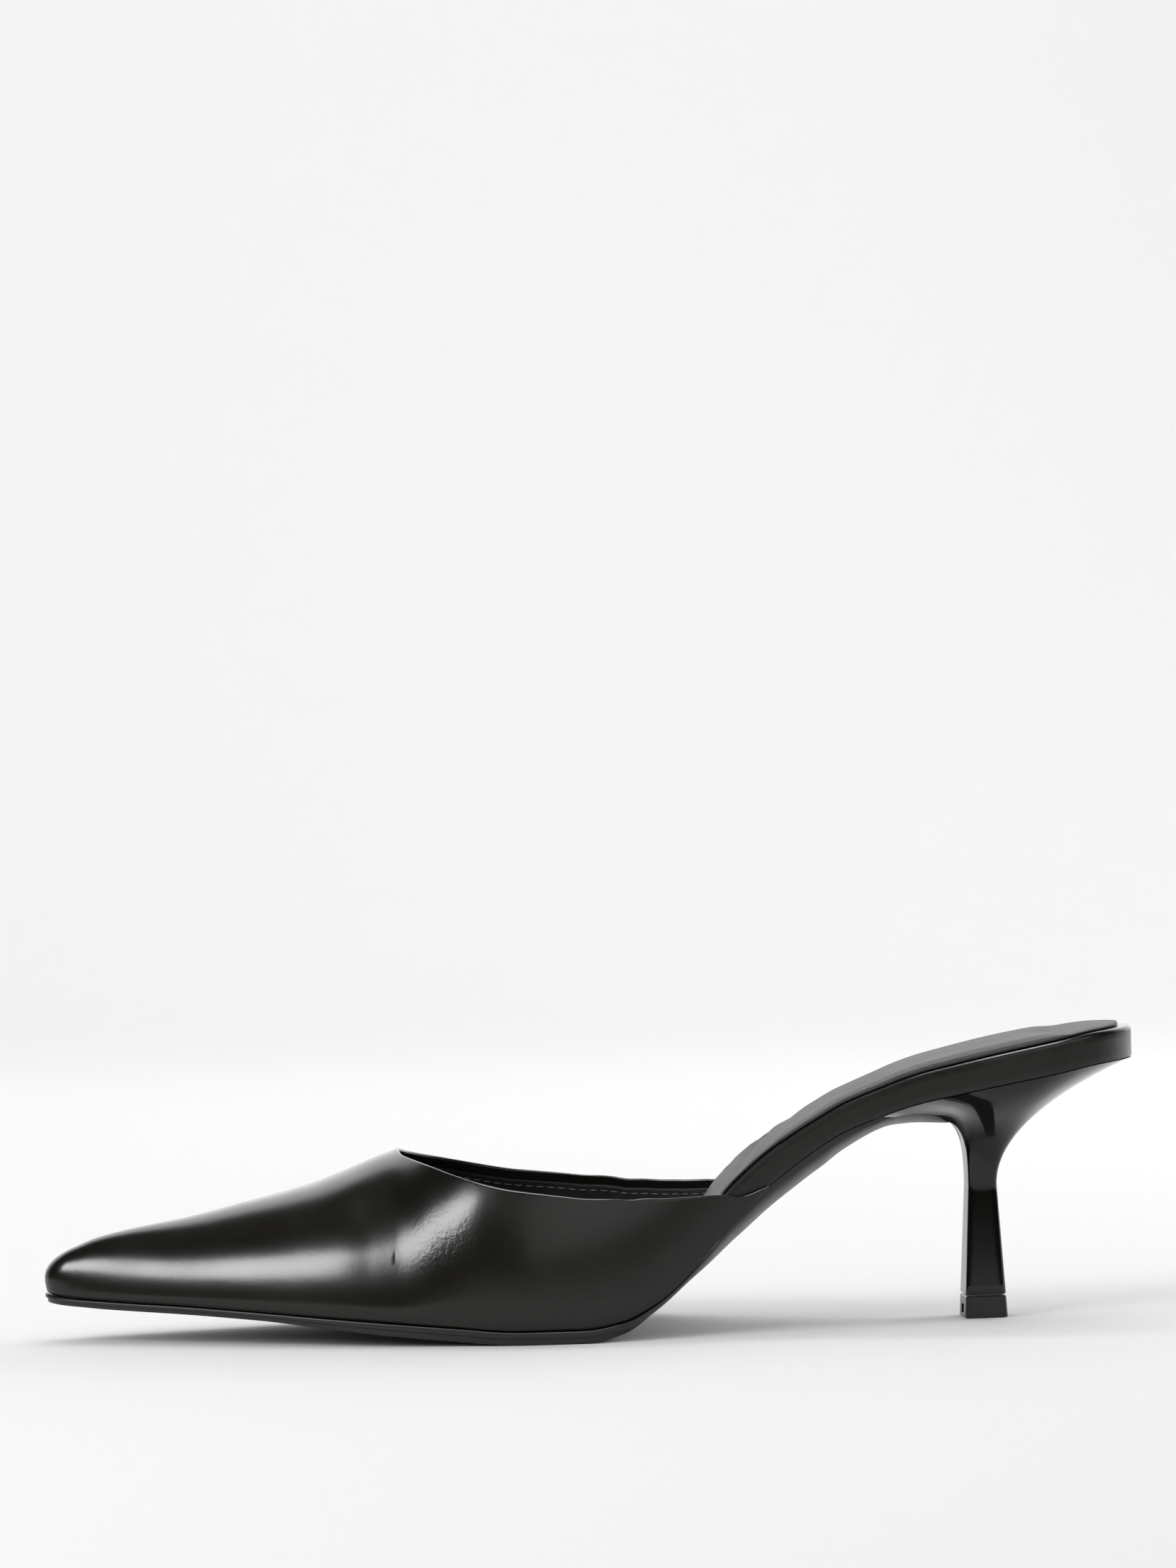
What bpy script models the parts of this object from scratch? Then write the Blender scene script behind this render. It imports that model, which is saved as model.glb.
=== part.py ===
"""Kitten heel mule: vamp, covered insole board, padded sock, outsole, heel and top piece.

A left shoe that stands on its sole, in metres. The toe points to -X, the outer side faces -Y and the floor is z = 0.
Each table holds shares, chosen by hand, of the sizes named at the top. Stations are shares of the length, from the toe.
"""
import math

import bmesh
import bpy
from mathutils import Matrix, Vector

# Driving sizes of the last
LENGTH = 0.2466
BALL_WIDTH = 0.0765
SEAT_WIDTH = 0.0505
TOE_LIFT = 0.0071
SEAT_RISE = 0.0551
THROAT_RISE = 0.0345

# Upper
WALL = 0.0018
WING_WALL = 0.0011
SIDE_BULGE = 0.0012
THROAT_STATION = 0.327
WING_STATION = 0.661

# Board, sock and outsole
BOARD_THICKNESS = 0.0020
RAND_HEIGHT = 0.0072
EDGE_ROUNDING = 0.0011
SOCK_EDGE = 0.0008
SOCK_CROWN = 0.0008
SOCK_INSET = 0.0008
SOCK_HEEL_INSET = 0.0030
SOLE_THICKNESS = 0.0028
SOLE_RIM = 0.0005
SOLE_STEP = 0.0005
WAIST_INSET = 0.0008

# Heel and top piece
STEM_STATION = 0.859
STEM_DEPTH_FOOT = 0.0098
STEM_DEPTH_NECK = 0.0066
STEM_WIDTH_FOOT = 0.0106
STEM_WIDTH_NECK = 0.0082
STEM_CORNER = 0.0009
HEEL_SWING = math.radians(4.0)
NECK_HEIGHT = 0.0300
CUP_LEAD = 0.94
CUP_DROP = 0.50
WING_FRONT_STATION = 0.766
TAIL_STATION = 0.8315
TIP_HEIGHT = 0.0053
NOTCH_WIDTH = 0.0035
NOTCH_HEIGHT = 0.0020
NOTCH_DEPTH = 0.0010
NOTCH_FLOOR = 0.0010

# Clearance between curved pieces
FIT = 0.0003

# Places along the shoe and how finely it is divided
POLE_STATION = 0.0304
SEAT_STATION = 0.904
TAIL_START_STATION = 0.7376
STATION_GAP = 0.0208
TOE_STEPS = 6
BACK_STEPS = 7
RIB_ROWS = 9
ROW_CROWDING = 4.0
VAMP_RIBS = 12
WING_RIBS = 22
FLARE_LEVELS = 9
STEM_LEVELS = 4

OUTER = -1
INNER = 1

# Half widths of the last's bottom: station, outer side, inner side, shares of the ball width
FOREPART_WIDTHS = (
    (0.0304, 0.062, 0.060),
    (0.050, 0.090, 0.084),
    (0.100, 0.162, 0.149),
    (0.200, 0.299, 0.280),
    (0.300, 0.410, 0.391),
    (0.380, 0.463, 0.450),
    (0.450, 0.489, 0.456),
    (0.500, 0.482, 0.426),
    (0.560, 0.425, 0.345),
    (0.620, 0.347, 0.262),
)

# Half widths behind the waist: station, outer side, inner side, shares of the seat width
SEAT_WIDTHS = (
    (0.680, 0.455, 0.330),
    (0.740, 0.445, 0.350),
    (0.800, 0.465, 0.420),
    (0.870, 0.500, 0.488),
    (0.904, 0.500, 0.500),
)

# Line of the last's bottom: station, share of the toe's lift, share of the seat's rise
BOTTOM_LINE = (
    (0.000, 1.150, 0.000),
    (0.010, 1.045, 0.000),
    (0.030, 0.975, 0.000),
    (0.150, 0.760, 0.000),
    (0.264, 0.465, 0.000),
    (0.375, 0.155, 0.000),
    (0.435, 0.000, 0.000),
    (0.490, 0.000, 0.000),
    (0.529, 0.000, 0.025),
    (0.556, 0.000, 0.083),
    (0.584, 0.000, 0.178),
    (0.607, 0.000, 0.281),
    (0.627, 0.000, 0.388),
    (0.642, 0.000, 0.452),
    (0.661, 0.000, 0.528),
    (0.685, 0.000, 0.609),
    (0.710, 0.000, 0.686),
    (0.732, 0.000, 0.742),
    (0.768, 0.000, 0.802),
    (0.785, 0.000, 0.828),
    (0.805, 0.000, 0.852),
    (0.829, 0.000, 0.874),
    (0.863, 0.000, 0.904),
    (0.920, 0.000, 0.950),
    (0.962, 0.000, 0.984),
    (1.000, 0.000, 1.000),
)

# Crest of the last over its bottom: station, share of the throat's rise, fullness of the section
CREST = (
    (0.000, 0.155, 3.00),
    (0.010, 0.200, 2.85),
    (0.0304, 0.272, 2.60),
    (0.050, 0.336, 2.30),
    (0.077, 0.392, 2.20),
    (0.134, 0.485, 2.15),
    (0.190, 0.605, 2.10),
    (0.249, 0.745, 2.10),
    (0.279, 0.840, 2.15),
    (0.308, 0.940, 2.20),
    (0.327, 1.000, 2.25),
    (0.365, 1.160, 2.30),
    (0.405, 1.320, 2.35),
    (0.450, 1.480, 2.35),
    (0.507, 1.620, 2.35),
    (0.568, 1.610, 2.35),
    (0.629, 1.460, 2.35),
    (0.670, 1.400, 2.35),
)

# Top edge behind the throat, over the last's bottom: station, outer side, inner side, shares of the throat's rise
TOP_EDGE = (
    (0.327, 1.000, 1.000),
    (0.352, 0.975, 0.958),
    (0.384, 0.927, 0.918),
    (0.417, 0.888, 0.890),
    (0.448, 0.859, 0.868),
    (0.480, 0.832, 0.846),
    (0.511, 0.801, 0.818),
    (0.543, 0.728, 0.732),
    (0.574, 0.583, 0.583),
    (0.606, 0.374, 0.372),
    (0.638, 0.105, 0.105),
    (0.661, 0.014, 0.014),
)

# Height of the board's side: station, share of the way from the bare board to the full rand
RAND = (
    (0.000, 0.000),
    (0.490, 0.000),
    (0.540, 0.150),
    (0.580, 0.670),
    (0.620, 1.210),
    (0.640, 1.160),
    (0.663, 1.060),
    (0.690, 0.920),
    (0.713, 0.820),
    (0.739, 0.790),
    (0.762, 0.815),
    (0.786, 0.850),
    (0.824, 0.910),
    (0.864, 0.955),
    (0.936, 1.000),
    (1.000, 0.960),
)

# Outsole: station, share of its thickness, how far it has turned from a flat tread to a rounded waist
SOLE_BODY = (
    (0.000, 0.700, 0.000),
    (0.010, 0.560, 0.000),
    (0.030, 0.560, 0.000),
    (0.060, 0.600, 0.000),
    (0.200, 0.600, 0.000),
    (0.264, 0.800, 0.000),
    (0.320, 0.960, 0.000),
    (0.375, 1.000, 0.000),
    (0.500, 1.000, 0.000),
    (0.529, 0.950, 0.100),
    (0.556, 0.720, 0.300),
    (0.584, 0.830, 0.600),
    (0.607, 1.400, 0.850),
    (0.627, 2.050, 1.000),
    (0.642, 2.200, 1.000),
    (0.661, 2.250, 1.000),
    (0.710, 2.150, 1.000),
    (0.732, 1.800, 1.000),
    (0.768, 1.290, 1.000),
    (0.790, 1.640, 1.000),
    (0.823, 2.390, 1.000),
    (0.840, 2.750, 1.000),
)

# Crown of the sock: station, share of its crown, share of its edge height
SOCK_BODY = (
    (0.000, 0.000, 0.450),
    (0.150, 0.100, 0.800),
    (0.450, 0.350, 1.000),
    (0.640, 0.450, 0.900),
    (0.740, 0.550, 0.900),
    (0.820, 0.950, 1.000),
    (0.880, 1.000, 1.000),
    (0.925, 0.750, 0.900),
    (0.942, 0.000, 0.500),
    (1.000, 0.000, 0.500),
)

# Outsole rings from its top to its tread: drop and inset of the flat tread, then of the rounded waist.
# Drops are shares of the thickness there. Insets of the tread are shares of the step, those of the waist of the half.
SOLE_RINGS = (
    (0.00, 0.0, 0.00, 0.00),
    (0.45, 0.0, 0.14, 0.00),
    (0.50, 1.0, 0.24, 0.02),
    (0.82, 1.0, 0.52, 0.12),
    (1.00, 1.6, 0.80, 0.32),
    (1.00, 6.0, 0.97, 0.60),
)


def slopes(curve):
    """Slope at each point of a curve, so that the curve never overshoots its points."""
    steps = [(b[1] - a[1]) / (b[0] - a[0]) for a, b in zip(curve, curve[1:])]
    inside = [0.0 if p * q <= 0.0 else 2.0 * p * q / (p + q) for p, q in zip(steps, steps[1:])]
    return [steps[0], *inside, steps[-1]]


def read(curve, x):
    """Height of the smooth curve through the points of a table column."""
    x = min(max(x, curve[0][0]), curve[-1][0])
    here = next(k for k in range(len(curve) - 1) if x <= curve[k + 1][0])
    slope = slopes(curve)
    (x0, y0), (x1, y1) = curve[here], curve[here + 1]
    span = x1 - x0
    t = (x - x0) / span
    start = (1 + 2 * t) * (1 - t) ** 2 * y0 + t * (1 - t) ** 2 * span * slope[here]
    return start + t * t * (3 - 2 * t) * y1 + t * t * (t - 1) * span * slope[here + 1]


def column(rows, index, size=1.0):
    """One column of a table as a curve in metres."""
    return [(row[0] * LENGTH, row[index] * size) for row in rows]


HALF_CURVES = {
    OUTER: column(FOREPART_WIDTHS, 1, BALL_WIDTH) + column(SEAT_WIDTHS, 1, SEAT_WIDTH),
    INNER: column(FOREPART_WIDTHS, 2, BALL_WIDTH) + column(SEAT_WIDTHS, 2, SEAT_WIDTH),
}
TOP_EDGES = {OUTER: column(TOP_EDGE, 1, THROAT_RISE), INNER: column(TOP_EDGE, 2, THROAT_RISE)}
TOE_TIP = WALL + FIT + SIDE_BULGE / 2


def bottom(x):
    """Height of the outsole's top, which the last's bottom follows."""
    return SOLE_THICKNESS + read(column(BOTTOM_LINE, 1, TOE_LIFT), x) + read(column(BOTTOM_LINE, 2, SEAT_RISE), x)


def tread(x):
    """Height of the outsole's underside along its middle."""
    return bottom(x) - read(column(SOLE_BODY, 1, SOLE_THICKNESS), x)


def board_top(x):
    """Height of the board's rim."""
    grown = read(column(RAND, 1, RAND_HEIGHT - BOARD_THICKNESS), x)
    return bottom(x) + FIT + BOARD_THICKNESS + grown


def crest(x):
    """Height of the lining along the top of the last."""
    return bottom(x) + FIT + read(column(CREST, 1, THROAT_RISE), x)


def half(side, x):
    """Half width of the last's bottom, between the toe and the round of the seat."""
    return read(HALF_CURVES[side], x)


def sole_half(side, x):
    """Half width of the outsole, past the upper in front and inside the board in the waist."""
    proud = WALL + FIT + SOLE_RIM
    waist = read(column(SOLE_BODY, 2), x)
    return half(side, x) + proud * (1 - waist) - WAIST_INSET * waist


def toe_radius(side, width, tip, turn):
    """Distance from the toe's pole to its outline, from the side (turn 0) to the tip (turn 1)."""
    pole = POLE_STATION * LENGTH
    reach = LENGTH * 0.004
    at_side = width(side, pole)
    spread = (width(side, pole + reach) - at_side) / reach
    quarter = math.pi / 2
    start = (1 + 2 * turn) * (1 - turn) ** 2 * at_side
    leave = -turn * (1 - turn) ** 2 * quarter * spread * at_side
    return start + leave + turn * turn * (3 - 2 * turn) * (pole - tip)


def side_of_outline(side, width, tip, back_start, back_end):
    """Plan points along one side of an outline, from the toe's tip to just before the back."""
    pole = POLE_STATION * LENGTH
    points = []
    for step in range(TOE_STEPS):
        turn = 1 - step / TOE_STEPS
        angle = math.pi / 2 * (1 + turn)
        radius = toe_radius(side, width, tip, turn)
        points.append(Vector((pole + radius * math.cos(angle), side * radius * math.sin(angle))))
    side_steps = round((back_start - pole) / (STATION_GAP * LENGTH))
    for step in range(side_steps):
        x = pole + (back_start - pole) * step / side_steps
        points.append(Vector((x, side * width(side, x))))
    for step in range(BACK_STEPS):
        angle = math.pi / 2 * step / BACK_STEPS
        x = back_start + (back_end - back_start) * math.sin(angle)
        points.append(Vector((x, side * width(side, back_start) * math.cos(angle))))
    return points


def outline(width, tip, back_start, back_end):
    """Closed plan outline: tip, outer side, back, inner side."""
    there = side_of_outline(OUTER, width, tip, back_start, back_end)
    back = side_of_outline(INNER, width, tip, back_start, back_end)
    return there + [Vector((back_end, 0.0))] + back[:0:-1]


def pushed(loop, distance):
    """The outline moved outward, square to itself, by a distance that may change along x."""
    count = len(loop)
    moved = []
    for k, point in enumerate(loop):
        along = loop[(k + 1) % count] - loop[k - 1]
        outward = Vector((along.y, -along.x)).normalized()
        moved.append(point + outward * distance(point.x))
    return moved


def draped(loop, height):
    """A plan outline laid on a height that changes along x."""
    return [Vector((point.x, point.y, height(point.x))) for point in loop]


def cap(ring):
    """Faces that close a ring: one if it is level, otherwise a ladder from its outer side to its inner side."""
    count = len(ring)
    heights = [vert.co.z for vert in ring]
    if max(heights) - min(heights) < FIT / 100:
        return [ring]
    faces = []
    for k in range(count // 2):
        rung = [ring[k], ring[k + 1], ring[(count - k - 1) % count], ring[(count - k) % count]]
        faces.append(list(dict.fromkeys(rung)))
    return faces


def solid_from_rings(name, rings, material):
    """One closed object from a stack of rings, lowest first."""
    mesh = bpy.data.meshes.new(name)
    bm = bmesh.new()
    verts = [[bm.verts.new(point) for point in ring] for ring in rings]
    count = len(rings[0])
    for low, high in zip(verts, verts[1:]):
        for k in range(count):
            bm.faces.new((low[k], low[(k + 1) % count], high[(k + 1) % count], high[k]))
    for face in cap(verts[0]) + cap(verts[-1]):
        bm.faces.new(face)
    bmesh.ops.recalc_face_normals(bm, faces=bm.faces)
    bm.to_mesh(mesh)
    bm.free()
    return placed(name, mesh, material)


def placed(name, mesh, material):
    """Put a mesh into the scene, smooth except at its real edges."""
    mesh.shade_smooth()
    mesh.set_sharp_from_angle(angle=math.radians(35))
    thing = bpy.data.objects.new(name, mesh)
    bpy.context.collection.objects.link(thing)
    if material:
        mesh.materials.append(material)
    return thing


def make_material(name, colour, roughness, coat=0.0):
    """A plain dielectric finish."""
    material = bpy.data.materials.new(name)
    material.use_nodes = True
    shader = material.node_tree.nodes["Principled BSDF"]
    shader.inputs["Base Color"].default_value = (*colour, 1.0)
    shader.inputs["Roughness"].default_value = roughness
    shader.inputs["Metallic"].default_value = 0.0
    shader.inputs["Coat Weight"].default_value = coat
    return material


def cut(thing, cutter):
    """Take a cutter's shape out of an object and hide the cutter."""
    modifier = thing.modifiers.new("cut", "BOOLEAN")
    modifier.operation = "DIFFERENCE"
    modifier.solver = "EXACT"
    modifier.object = cutter
    cutter.hide_render = True
    cutter.display_type = "WIRE"


def wall_at(x):
    """Thickness of the upper, thinned towards the ends of its wings."""
    share = (x / LENGTH - THROAT_STATION) / (WING_STATION - THROAT_STATION)
    share = min(max(share, 0.0), 1.0)
    return WALL + (WING_WALL - WALL) * share


def lining_half(side, x):
    """Half width of the lining at its foot."""
    return half(side, x) + FIT


def rib(side, foot, top, outward):
    """Points of the lining from its foot to the crest, or crowded under the top edge where that is lower."""
    fullness = 2.0 / read(column(CREST, 2), foot.x)
    floor = bottom(foot.x) + FIT
    rise = crest(foot.x) - floor
    last_angle = math.pi / 2
    if top.x > THROAT_STATION * LENGTH + FIT / 10:
        edge = read(TOP_EDGES[side], foot.x) / rise
        last_angle = math.asin(min(edge, 1.0) ** (1.0 / fullness))
    spare = math.pi / 2 - last_angle
    power = max(1.0, min(ROW_CROWDING, 0.9 * math.pi / 2 / max(spare, 1e-6)))
    points = []
    for row in range(RIB_ROWS + 1):
        way = row / RIB_ROWS
        angle = math.pi / 2 * way - spare * way ** power
        across = math.cos(angle) ** fullness if angle < math.pi / 2 else 0.0
        plan = top + (foot - top) * across + outward * (SIDE_BULGE * math.sin(2 * angle))
        raised = (crest(plan.x) - floor) * math.sin(angle) ** fullness
        points.append(Vector((plan.x, plan.y, floor + raised)))
    return points


def toe_ribs():
    """Ribs that fan round the toe from its pole."""
    pole = Vector((POLE_STATION * LENGTH, 0.0))
    ribs = []
    for side in (OUTER, INNER):
        for step in range(1, TOE_STEPS + 1):
            turn = step / TOE_STEPS
            angle = math.pi / 2 * (1 + turn)
            outward = Vector((math.cos(angle), side * math.sin(angle)))
            foot = pole + outward * toe_radius(side, lining_half, TOE_TIP - FIT, turn)
            ribs.append((side, turn, rib(side, foot, pole, outward)))
    fan = [points for side, turn, points in ribs if side == OUTER]
    back = [points for side, turn, points in ribs if side == INNER and turn < 1.0]
    return fan + back[::-1]


def side_ribs(side):
    """Ribs from the toe's pole to the end of a wing, closer together just behind the throat."""
    start = POLE_STATION
    stations = [start + (THROAT_STATION - start) * k / VAMP_RIBS for k in range(VAMP_RIBS + 1)]
    behind = WING_STATION - THROAT_STATION
    for k in range(1, WING_RIBS + 1):
        way = k / WING_RIBS
        stations.append(THROAT_STATION + behind * way * way * (3 - way) / 2)
    outward = Vector((0.0, side))
    ribs = []
    for station in stations:
        x = station * LENGTH
        ribs.append(rib(side, Vector((x, side * lining_half(side, x))), Vector((x, 0.0)), outward))
    return ribs


def build_upper(material):
    """Wall round the last, open along the top edge, at the back and underneath."""
    ribs = side_ribs(OUTER)[::-1] + toe_ribs() + side_ribs(INNER)
    bm = bmesh.new()
    grid = [[bm.verts.new(point) for point in points] for points in ribs]
    for here, there in zip(grid, grid[1:]):
        for row in range(RIB_ROWS):
            bm.faces.new((here[row], there[row], there[row + 1], here[row + 1]))
    bmesh.ops.remove_doubles(bm, verts=bm.verts, dist=1e-6)
    bmesh.ops.dissolve_degenerate(bm, dist=1e-6, edges=bm.edges)
    bmesh.ops.recalc_face_normals(bm, faces=bm.faces)
    crown = max(bm.verts, key=lambda vert: vert.co.z - bottom(vert.co.x) if abs(vert.co.y) < 0.001 else -1.0)
    bm.normal_update()
    if crown.normal.z < 0.0:
        bmesh.ops.reverse_faces(bm, faces=bm.faces)
        bm.normal_update()
    inside = list(bm.verts)
    faces = list(bm.faces)
    rim = [edge for edge in bm.edges if edge.is_boundary]
    outside = {}
    for vert in inside:
        outward = vert.normal.copy()
        on_board = abs(vert.co.z - bottom(vert.co.x) - FIT) < FIT / 100
        if on_board:
            outward.z = 0.0
            outward.normalize()
        place = vert.co + outward * wall_at(vert.co.x)
        if on_board:
            place.z = bottom(place.x) + FIT
        outside[vert] = bm.verts.new(place)
    for edge in rim:
        loop = edge.link_loops[0]
        a, b = loop.vert, loop.link_loop_next.vert
        bm.faces.new((a, b, outside[b], outside[a]))
    for face in faces:
        bm.faces.new([outside[vert] for vert in face.verts])
        face.normal_flip()
    mesh = bpy.data.meshes.new("upper")
    bm.to_mesh(mesh)
    bm.free()
    return placed("upper", mesh, material)


def build_board(material):
    """Covered insole board, thin under the upper and a tall rand from the waist back."""
    loop = outline(half, TOE_TIP, SEAT_STATION * LENGTH, LENGTH)

    def low(x):
        return bottom(x) + FIT

    def rounding(x):
        return EDGE_ROUNDING * min(1.0, (board_top(x) - low(x)) / RAND_HEIGHT)

    rings = [
        draped(pushed(loop, lambda x: -rounding(x)), low),
        draped(pushed(loop, lambda x: -0.3 * rounding(x)), lambda x: low(x) + 0.3 * rounding(x)),
        draped(loop, lambda x: low(x) + rounding(x)),
        draped(loop, lambda x: board_top(x) - rounding(x)),
        draped(pushed(loop, lambda x: -0.3 * rounding(x)), lambda x: board_top(x) - 0.3 * rounding(x)),
        draped(pushed(loop, lambda x: -rounding(x)), board_top),
    ]
    return solid_from_rings("insole_board", rings, material)


def build_sock(material):
    """Padded sock on the board, with a thin flat heel end."""
    back = LENGTH - SOCK_HEEL_INSET
    tip = POLE_STATION * LENGTH * 0.75
    loop = outline(lambda side, x: half(side, x) - SOCK_INSET, tip, SEAT_STATION * LENGTH, back)

    def low(x):
        return board_top(x) + FIT

    def edge(x):
        return read(column(SOCK_BODY, 2, SOCK_EDGE), x)

    def crown(x):
        return read(column(SOCK_BODY, 1, SOCK_CROWN), x)

    rings = [
        draped(loop, low),
        draped(loop, lambda x: low(x) + 0.7 * edge(x)),
        draped(pushed(loop, lambda x: -0.4 * edge(x)), lambda x: low(x) + edge(x)),
    ]
    for inset, raised in ((0.12, 0.25), (0.22, 0.60), (0.36, 0.86), (0.55, 1.00)):
        narrower = [Vector((p.x, p.y * (1 - inset))) for p in pushed(loop, lambda x: -0.4 * edge(x))]
        rings.append(draped(narrower, lambda x, share=raised: low(x) + edge(x) + share * crown(x)))
    return solid_from_rings("sock", rings, material)


def sole_outline():
    """Plan outline of the outsole, with its rounded tail under the seat."""
    tip = TOE_TIP - WALL - FIT - SOLE_RIM
    return outline(sole_half, tip, TAIL_START_STATION * LENGTH, TAIL_STATION * LENGTH)


def build_outsole(material):
    """Outsole with a bead over a stepped band in front and a rounded underside in the waist."""
    loop = sole_outline()
    rings = []
    for drop_flat, inset_flat, drop_round, inset_round in SOLE_RINGS[::-1]:
        ring = []
        for point, edge in zip(loop, pushed(loop, lambda x: -SOLE_STEP * inset_flat)):
            waist = read(column(SOLE_BODY, 2), point.x)
            thickness = bottom(point.x) - tread(point.x)
            drop = drop_flat + (drop_round - drop_flat) * waist
            plan = edge.lerp(Vector((point.x, point.y * (1 - inset_round))), waist)
            ring.append(Vector((plan.x, plan.y, bottom(plan.x) - drop * thickness)))
        rings.append(ring)
    return solid_from_rings("outsole", rings, material)


def half_stem(z):
    """Points of half the stem's section, from the middle of the breast to the middle of the back."""
    share = 1 - z / NECK_HEIGHT
    depth = STEM_DEPTH_NECK + (STEM_DEPTH_FOOT - STEM_DEPTH_NECK) * share
    width = STEM_WIDTH_NECK + (STEM_WIDTH_FOOT - STEM_WIDTH_NECK) * share
    middle = STEM_STATION * LENGTH
    front, back, side = middle - depth / 2, middle + depth / 2, width / 2
    front_round, back_round = STEM_CORNER, 1.8 * STEM_CORNER
    points = [(front, (side - front_round) * k / 3) for k in range(3)]
    for k in range(4):
        angle = math.pi / 2 * k / 3
        points.append((front + front_round * (1 - math.cos(angle)), side - front_round * (1 - math.sin(angle))))
    straight = depth - front_round - back_round
    points += [(front + front_round + straight * k / 4, side) for k in range(1, 4)]
    for k in range(5):
        angle = math.pi / 2 * k / 4
        points.append((back - back_round * (1 - math.sin(angle)), side - back_round * (1 - math.cos(angle))))
    points += [(back, (side - back_round) * (1 - k / 2)) for k in range(1, 3)]
    return points


def stem_ring(z):
    """The stem's whole section at a height, its breast swung towards the ball's outer side."""
    points = half_stem(z)
    section = [(x, -y) for x, y in points] + points[1:-1][::-1]
    middle = Vector((STEM_STATION * LENGTH, 0.0, 0.0))
    turn = Matrix.Rotation(HEEL_SWING, 3, "Z")
    return [turn @ (Vector((x, y, z)) - middle) + middle for x, y in section]


def half_seat(side, count):
    """Points of half the seat's rim, from the middle of its front to its back."""
    front = WING_FRONT_STATION * LENGTH
    seat = SEAT_STATION * LENGTH
    edge = half(side, front)
    bow = 0.1 * edge
    points = []
    for share in (0.0, 0.3, 0.6, 0.85):
        points.append(Vector((front - bow * (1 - share * share), side * edge * share)))
    steps = count - 1 - len(points)
    for k in range(steps + 1):
        x = front + (LENGTH - front) * math.sin(math.pi / 2 * k / steps)
        wide = half(side, min(x, seat))
        if x > seat:
            wide *= math.sqrt(max(0.0, 1 - ((x - seat) / (LENGTH - seat)) ** 2))
        points.append(Vector((x, side * wide)))
    return points


def seat_ring(count):
    """Rim of the heel's cupped seat, just under the board."""
    there = half_seat(OUTER, count)
    back = half_seat(INNER, count)
    plan = there + back[1:-1][::-1]
    return [Vector((point.x, point.y, bottom(point.x))) for point in plan]


def flare_point(start, end, frontness, t):
    """A point on the sweep from the neck to the seat's rim: steep at the breast, cupped at the sides, hollow behind."""
    height = end.z - start.z
    away = (end - start).xy
    cupped = (1 - frontness) * (away.y ** 2 / away.length_squared) ** 2
    climb = 0.39 + 0.63 * frontness
    lead = 0.47 - 0.41 * frontness
    drop = 0.25 - 0.17 * frontness
    first = start + Vector((0.0, 0.0, climb * height))
    second = start.lerp(end, lead + (CUP_LEAD - lead) * cupped)
    second.z = end.z - (drop + (CUP_DROP - drop) * cupped) * height
    terms = ((1 - t) ** 3, 3 * t * (1 - t) ** 2, 3 * t * t * (1 - t), t ** 3)
    return sum((point * term for point, term in zip((start, first, second, end), terms)), Vector())


def build_heel(material):
    """Heel: a slim stem that sweeps out into a cupped seat, notched for the outsole's tail."""
    count = len(half_stem(0.0))
    low = TIP_HEIGHT
    rings = [stem_ring(low + (NECK_HEIGHT - low) * k / STEM_LEVELS) for k in range(STEM_LEVELS + 1)]
    neck = rings[-1]
    seat = seat_ring(count)
    total = len(neck)
    for level in range(1, FLARE_LEVELS + 1):
        t = level / FLARE_LEVELS
        ring = []
        for k in range(total):
            way = min(k, total - k) / (count - 1)
            frontness = 0.5 + 0.5 * math.cos(math.pi * min(1.0, max(0.0, way * 1.6 - 0.25)))
            ring.append(flare_point(neck[k], seat[k] - Vector((0.0, 0.0, FIT)), frontness, t))
        rings.append(ring)
    heel = solid_from_rings("heel", rings, material)
    notch = pushed(sole_outline(), lambda x: FIT)
    top = SOLE_THICKNESS + SEAT_RISE + RAND_HEIGHT
    cutter = solid_from_rings("tail_cutter", [draped(notch, lambda x: NECK_HEIGHT), draped(notch, lambda x: top)], None)
    cut(heel, cutter)
    return heel


def build_tip(material):
    """Top piece under the stem, with the small notch of its mould in the breast face."""
    rings = [stem_ring(0.0), stem_ring(TIP_HEIGHT - FIT)]
    tip = solid_from_rings("heel_tip", rings, material)
    breast = stem_ring(NOTCH_FLOOR + NOTCH_HEIGHT / 2)[0]
    mesh = bpy.data.meshes.new("notch_cutter")
    bm = bmesh.new()
    bmesh.ops.create_cube(bm, size=1.0)
    size = Vector((2 * NOTCH_DEPTH, NOTCH_WIDTH, NOTCH_HEIGHT))
    bmesh.ops.scale(bm, vec=size, verts=bm.verts)
    bmesh.ops.rotate(bm, matrix=Matrix.Rotation(HEEL_SWING, 3, "Z"), verts=bm.verts)
    bmesh.ops.translate(bm, vec=breast, verts=bm.verts)
    bm.to_mesh(mesh)
    bm.free()
    cutter = placed("notch_cutter", mesh, None)
    cut(tip, cutter)
    return tip


def stand_on_origin(things):
    """Move everything so that the shoe's box stands with the middle of its floor on the origin."""
    corners = [vert.co for thing in things for vert in thing.data.vertices]
    middle = [(min(c[axis] for c in corners) + max(c[axis] for c in corners)) / 2 for axis in (0, 1)]
    for thing in bpy.data.objects:
        thing.location = (-middle[0], -middle[1], 0.0)


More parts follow.
